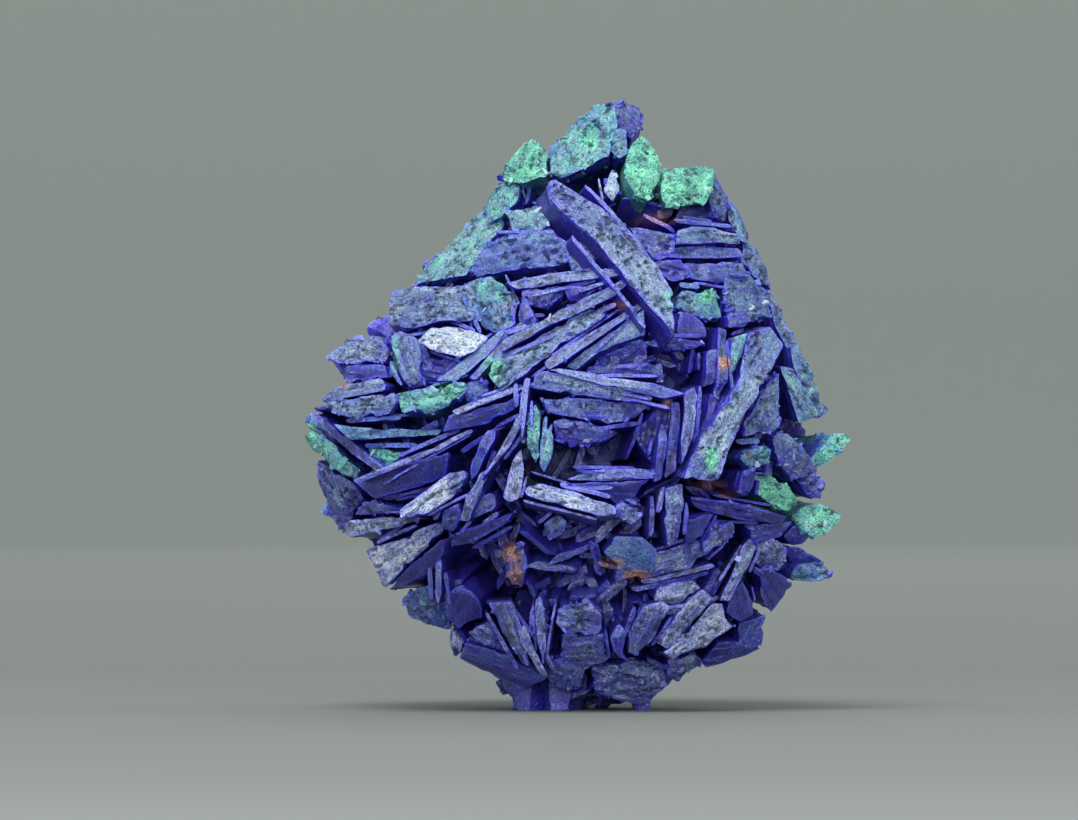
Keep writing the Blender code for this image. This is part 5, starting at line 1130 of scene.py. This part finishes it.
    # Each row lays a colour over the one before, as strongly as a value says
    for key, share, under, over in (
            ("face", "violet_here", "blue", "violet"),
            # Painted shade down the sides: bright ultramarine at the rim, darker navy deeper down
            ("wall", "deep", "#362AD2", "#1C167E"),
            ("body", "wall_here", "face", "wall"),
            # Painted rim highlight in bright blue
            ("body", "painted_rim_highlight", "body", "#4A44E8"),
            # Painted shade in the clefts
            ("body", "painted_cleft_shade", "body", "#1A146C"),
            ("body", "tint", "body", "#4C94A0"),
            ("body", "coat_here", "body", "malachite"),
            ("body", "clay_here", "body", "earth"),
            # Painted glint highlights
            ("body", "glint", "body", "#C9D2E2"),
            # Near-black painted shade in the pits
            ("body", "pitted", "body", "#0C0A34")):
        under, over = (made[colour] if colour in made else linear(colour) for colour in (under, over))
        made[key] = node(
            tree, "ShaderNodeMix", {0: made[share], 6: under, 7: over}, data_type="RGBA").outputs[2]

    tree.links.new(made["body"], shader.inputs["Base Color"])
    tree.links.new(made["dull"], shader.inputs["Roughness"])
    shader.inputs["IOR"].default_value = 1.6
    shader.inputs["Specular IOR Level"].default_value = 0.6
    bump = node(tree, "ShaderNodeBump", {"Strength": 0.7, "Distance": 0.05 * MM, "Height": made["height"]})
    tree.links.new(bump.outputs["Normal"], shader.inputs["Normal"])
    return material


def matte(name, colour, far, roughness):
    """Matt studio paint, a little lighter towards the walls, where less light falls."""
    material = bpy.data.materials.new(name)
    material.use_nodes = True
    tree = material.node_tree
    shader = tree.nodes["Principled BSDF"]
    place = node(tree, "ShaderNodeTexCoord").outputs["Object"]
    away = node(tree, "ShaderNodeVectorMath", {0: place}, operation="LENGTH").outputs["Value"]
    outer = node(tree, "ShaderNodeMapRange", {"Value": away, "From Min": 0.1, "From Max": 1.1}).outputs[0]
    paint = node(tree, "ShaderNodeMix", {0: outer, 6: linear(colour), 7: linear(far)}, data_type="RGBA")
    tree.links.new(paint.outputs[2], shader.inputs["Base Color"])
    shader.inputs["Roughness"].default_value = roughness
    return material


# Pieces

def marked(points, marks):
    """The strength at each point of soft-edged marks seen from the front."""
    total = np.zeros(len(points))
    ragged = 0.6 * (noise(points, 1.8, 31) - 0.5)
    for x, z, half, high, strength in marks:
        away = np.hypot((points[:, 0] - x) / half, (points[:, 2] - z) / high) + ragged
        total = np.maximum(total, strength * np.clip(2.0 * (1.15 - away), 0, 1))
    return np.where(points[:, 1] < -1.0, total, 0.0)


def piece(name, parts, material):
    """Joins crystals in one mesh in the frame, with their values as attributes."""
    starts = np.cumsum([0] + [len(part["points"]) for part in parts[:-1]])
    points = np.concatenate([part["points"] for part in parts])
    faces = np.concatenate([part["faces"] + start for part, start in zip(parts, starts)])
    values = {key: np.concatenate([part[key] for part in parts]) for key in parts[0]}
    del values["points"], values["faces"]
    placed = points + np.array(CENTRING)
    placed = np.clip(placed, np.array(cad_box[0]) / MM, np.array(cad_box[1]) / MM)
    mesh = bpy.data.meshes.new(name)
    mesh.from_pydata(placed * MM, [], faces)
    normals = np.empty(len(points) * 3)
    mesh.vertex_normals.foreach_get("vector", normals)
    normals = normals.reshape(-1, 3)
    half = half_width(points[:, 2])
    across = (points[:, 0] - middle_x(points[:, 2])) / half
    back = points[:, 1] / (DEPTH_SHARE * half)
    away = np.hypot(across, back)
    outward = np.column_stack((across, back, -away * widening(points[:, 2])))
    outward /= np.linalg.norm(outward, axis=1)[:, None] + 1e-9
    bare = np.clip(((normals * outward).sum(axis=1) - 0.3) * 1.8, 0, 1)
    values["side"] = values["side"] * (1 - 0.9 * bare)
    values["deep"] = values["deep"] * (1 - 0.9 * bare)
    values["bloom"] = values["bloom"] * (1 - 0.75 * values["side"])
    # How much a point faces up; the material makes such points paler, partly as dust and partly as painted
    # top light
    values["up"] = normals[:, 2]
    values["low"] = np.clip((LOW_BELOW - points[:, 2]) / LOW_FADE, 0, 1)
    # How deep under the form a point lies, which the material turns into painted shade in the clefts
    values["cleft"] = np.clip(((1 - away) * half - 0.1) / CLEFT_DEEP, 0, 1)
    values["green"] = np.maximum(values["green"], marked(points, GREEN_MARKS))
    values["bloom"] = np.maximum(values["bloom"], marked(points, PALE_PATCH_AND_GLINT_MARKS))
    values["clay"] = marked(points, CLAY_MARKS)
    for key, value in values.items():
        vector = value.ndim == 2
        kind = "FLOAT_VECTOR" if vector else "FLOAT"
        data = mesh.attributes.new(key, kind, "POINT").data
        data.foreach_set("vector" if vector else "value", value.astype(np.float32).ravel())
    mesh.materials.append(material)
    mesh.shade_smooth()
    mesh.set_sharp_from_angle(angle=SHARP_ANGLE)
    mesh.update()
    made = bpy.data.objects.new(name, mesh)
    bpy.context.scene.collection.objects.link(made)
    return made


def crystallite():
    """A small wedge-shaped crystal of unit length, with a chisel-like end."""
    points = [
        (-0.5, -0.2, -0.4), (0.5, -0.25, -0.4), (0.45, 0.2, -0.4), (-0.4, 0.25, -0.4),
        (-0.42, -0.04, 0.3), (0.3, -0.1, 0.5), (0.34, 0.08, 0.42), (-0.3, 0.12, 0.34)]
    faces = [(3, 2, 1, 0), (4, 5, 6, 7)] + [(k, (k + 1) % 4, (k + 1) % 4 + 4, k + 4) for k in range(4)]
    mesh = bpy.data.meshes.new("crystallite")
    mesh.from_pydata(points, [], faces)
    return bpy.data.objects.new("crystallite", mesh)


def druse_tree():
    """Nodes that strew small crystals over a surface, as densely as its druse value says."""
    tree = bpy.data.node_groups.new("druse", "GeometryNodeTree")
    inputs = (("Surface", "Geometry"), ("Per Square Metre", "Float"), ("Seed", "Int"), ("Smallest", "Float"),
              ("Largest", "Float"), ("Crystallite", "Object"), ("Mineral", "Material"))
    for name, kind in inputs:
        tree.interface.new_socket(name, in_out="INPUT", socket_type="NodeSocket" + kind)
    tree.interface.new_socket("Druse", in_out="OUTPUT", socket_type="NodeSocketGeometry")
    given = tree.nodes.new("NodeGroupInput").outputs
    weight = node(tree, "GeometryNodeInputNamedAttribute", {"Name": "druse"}, data_type="FLOAT")
    density = node(tree, "ShaderNodeMath", {
        0: weight.outputs["Attribute"], 1: given["Per Square Metre"]}, operation="MULTIPLY")
    spots = node(tree, "GeometryNodeDistributePointsOnFaces", {
        "Mesh": given["Surface"], "Density": density.outputs[0], "Seed": given["Seed"]},
        distribute_method="RANDOM")
    turn = node(tree, "FunctionNodeRandomValue", {
        0: (-0.8, -0.8, -3.1), 1: (0.8, 0.8, 3.1), "Seed": given["Seed"]}, data_type="FLOAT_VECTOR")
    euler = node(tree, "FunctionNodeEulerToRotation", {"Euler": turn.outputs[0]})
    turned = node(tree, "FunctionNodeRotateRotation", {
        "Rotation": spots.outputs["Rotation"], "Rotate By": euler.outputs[0]}, rotation_space="LOCAL")
    size = node(tree, "FunctionNodeRandomValue", {
        2: given["Smallest"], 3: given["Largest"], "Seed": given["Seed"]}, data_type="FLOAT")
    shape = node(tree, "GeometryNodeObjectInfo", {"Object": given["Crystallite"]})
    strewn = node(tree, "GeometryNodeInstanceOnPoints", {
        "Points": spots.outputs["Points"], "Instance": shape.outputs["Geometry"],
        "Rotation": turned.outputs[0], "Scale": size.outputs[1]})
    real = node(tree, "GeometryNodeRealizeInstances", {"Geometry": strewn.outputs["Instances"]})
    dressed = node(tree, "GeometryNodeSetMaterial", {
        "Geometry": real.outputs["Geometry"], "Material": given["Mineral"]})
    end = tree.nodes.new("NodeGroupOutput")
    tree.links.new(dressed.outputs["Geometry"], end.inputs["Druse"])
    return tree


def druse_on(surface, tree, shape, material, density, seed_number):
    """A mesh of the small crystals that the druse nodes strew over a piece."""
    made = surface.copy()
    made.name = "druse_on_" + surface.name
    bpy.context.scene.collection.objects.link(made)
    step = made.modifiers.new("druse", "NODES")
    step.node_group = tree
    sockets = {item.name: item.identifier for item in tree.interface.items_tree if item.in_out == "INPUT"}
    values = {"Per Square Metre": density / MM ** 2, "Seed": seed_number, "Smallest": DRUSE_SIZE[0] * MM,
              "Largest": DRUSE_SIZE[1] * MM, "Crystallite": shape, "Mineral": material}
    for name, value in values.items():
        step[sockets[name]] = value
    bpy.context.view_layer.update()
    graph = bpy.context.evaluated_depsgraph_get()
    mesh = bpy.data.meshes.new_from_object(made.evaluated_get(graph), depsgraph=graph)
    made.modifiers.clear()
    made.data = mesh
    mesh.name = made.name
    places = np.empty(len(mesh.vertices) * 3)
    mesh.vertices.foreach_get("co", places)
    places = np.clip(places.reshape(-1, 3), cad_box[0], cad_box[1])
    mesh.vertices.foreach_set("co", places.ravel())
    mesh.update()
    return made


weathered = azurite("weathered_azurite", 1.0, 0.31)
fresh = azurite("massive_azurite", 0.9, 0.42)

pieces = []
plates = []
seed = 100
tones = random.Random(7)
for name, rows in (
        ("crown", CROWN), ("left_shoulder", LEFT_SHOULDER), ("diagonal_bars", DIAGONALS), ("centre", CENTRE),
        ("left_middle", LEFT_MIDDLE), ("lower_front", LOWER), ("right_side", RIGHT)):
    parts = []
    for _, proud, turn, lean, tone, green, habit, outline in rows:
        seed += 50
        outer, root = front_crystal(proud, turn, lean, outline)
        parts.append(crystal(outer, root, habit, tone, green, FRONT_SPACING, seed))
        for face, foot in side_plates(outer, root, tones):
            seed += 50
            pale = max(0.05, tone * tones.uniform(0.3, 1.1))
            plates.append(crystal(face, foot, "striated", pale, 0.6 * green, SMALL_SPACING, seed, PLATE_ROWS))
    pieces.append(piece(name, parts, weathered))

half_of_them = len(plates) // 2
for name, parts in (("thin_plates_high", plates[:half_of_them]), ("thin_plates_low", plates[half_of_them:])):
    pieces.append(piece(name, parts, weathered))
small = []
for maker in (fill_crystals, swirl_crystals, gap_crystals, foot_splinters):
    for outer, root in maker():
        seed += 50
        pale = tones.choice((0.1, 0.2, 0.35, 0.5, 0.75))
        small.append(crystal(outer, root, "striated", pale, 0.0, SMALL_SPACING, seed, PLATE_ROWS))
pieces.append(piece("small_crystals", small, weathered))

upper = []
lower = []
for z, (outer, root) in back_crystals():
    seed += 50
    habit = tones.choice(("pitted", "rough", "striated", "striated", "smooth"))
    tone = tones.choice((0.12, 0.3, 0.42, 0.5, 0.58, 0.75))
    green = tones.choice((0.0, 0.0, 0.05, 0.1, 0.15, 0.45)) + (0.2 if z > 21 else 0.0)
    side = upper if z > 14 else lower
    side.append(crystal(outer, root, habit, tone, green, BACK_SPACING, seed, BACK_ROWS))
    for face, foot in side_plates(outer, root, tones):
        seed += 50
        pale = max(0.05, tone * tones.uniform(0.3, 1.1))
        side.append(crystal(face, foot, "striated", pale, 0.6 * green, BACK_SPACING, seed, PLATE_ROWS))
for z, (outer, root) in back_gap_crystals():
    seed += 50
    side = upper if z > 14 else lower
    tone = tones.uniform(0.1, 0.5)
    side.append(crystal(outer, root, "striated", tone, 0.0, BACK_SPACING, seed, PLATE_ROWS))
for row in FOOT:
    seed += 50
    low, high = foot_crystal(*row)
    lower.append(crystal(low, high, "rough", 0.25, 0.05, BACK_SPACING, seed))
for name, parts in (("back_upper", upper), ("back_lower", lower)):
    pieces.append(piece(name, parts, weathered))
pieces.append(piece("massive_middle", [core()], fresh))

tree = druse_tree()
shape = crystallite()
bpy.context.scene.collection.objects.link(shape)
for number, surface in enumerate(list(pieces)):
    if surface.name.startswith("thin_plates") or surface.name == "small_crystals":
        continue
    pieces.append(druse_on(surface, tree, shape, weathered, DRUSE_PER_MM2, number))
bpy.data.objects.remove(shape)

for made in pieces:
    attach(made, "root")
    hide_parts("azurite_specimen")


# The studio

def bowl():
    """A pale floor that rises in a smooth curve all round, so that no horizon line shows."""
    flat = 0.75
    bend = 0.5
    profile = [(0.0, 0.0), (0.2, 0.0), (0.5, 0.0), (flat, 0.0)]
    profile += [(flat + bend * math.sin(a), bend * (1 - math.cos(a))) for a in np.linspace(0.1, 1.45, 14)]
    profile.append((flat + bend + 0.05, 1.1))
    around = 96
    points = [(0.0, 0.0, 0.0)]
    for radius, height in profile[1:]:
        for k in range(around):
            a = math.tau * k / around
            points.append((radius * math.cos(a), radius * math.sin(a), height))
    faces = [(0, 1 + k, 1 + (k + 1) % around) for k in range(around)]
    for ring in range(len(profile) - 2):
        low = 1 + ring * around
        for k in range(around):
            n = (k + 1) % around
            faces.append((low + k, low + around + k, low + around + n, low + n))
    mesh = bpy.data.meshes.new("studio_floor")
    mesh.from_pydata(points, [], faces)
    mesh.shade_smooth()
    mesh.materials.append(matte("studio_paint", "#6C706D", "#ABB0AC", 0.9))
    made = bpy.data.objects.new("studio_floor", mesh)
    bpy.context.scene.collection.objects.link(made)
    return made


def lamp(name, place, aim, size, power, colour):
    """A square soft light aimed at a place."""
    light = bpy.data.lights.new(name, "AREA")
    light.shape = "SQUARE"
    light.size = size
    light.energy = power
    light.color = linear(colour)[:3]
    made = bpy.data.objects.new(name, light)
    made.location = place
    made.rotation_euler = (Vector(aim) - Vector(place)).to_track_quat("-Z", "Y").to_euler()
    bpy.context.scene.collection.objects.link(made)


bowl()
middle = (0.0, 0.0, 0.015)
lamp("key", (-0.10, -0.30, 0.55), middle, 0.30, 3.6, "#FFFFFF")
lamp("front_fill", (0.15, -0.75, 0.25), middle, 0.35, 2.4, "#F4F7FF")
lamp("low_fill", (-0.1, -0.55, 0.06), middle, 0.3, 1.6, "#F4F7FF")
lamp("left_fill", (-0.6, -0.1, 0.2), middle, 0.3, 0.5, "#F4F7FF")
lamp("right_fill", (0.6, -0.05, 0.25), middle, 0.3, 0.6, "#F4F7FF")
lamp("back_fill", (0.1, 0.6, 0.45), middle, 0.4, 0.8, "#FFFFFF")

world = bpy.data.worlds.new("soft_room")
world.use_nodes = True
world.node_tree.nodes["Background"].inputs["Color"].default_value = linear("#D8DEDC")
world.node_tree.nodes["Background"].inputs["Strength"].default_value = 1.0
bpy.context.scene.world = world

FRAME_WIDTH = 53.9 * MM  # what the picture is wide at the specimen
FRAME_MIDDLE = (-1.85 * MM, 14.95 * MM)  # the x and z that the picture is centred on
CAMERA_AWAY = 0.6  # far off, because the picture has next to no perspective
camera = bpy.data.cameras.new("photo_camera")
camera.sensor_width = 36.0
camera.lens = camera.sensor_width * CAMERA_AWAY / FRAME_WIDTH
camera.clip_start = 0.02
viewer = bpy.data.objects.new("photo_camera", camera)
viewer.location = (FRAME_MIDDLE[0], -CAMERA_AWAY, FRAME_MIDDLE[1])
viewer.rotation_euler = (math.pi / 2, 0.0, 0.0)
bpy.context.scene.collection.objects.link(viewer)
bpy.context.scene.camera = viewer
bpy.context.scene.view_settings.view_transform = "Standard"
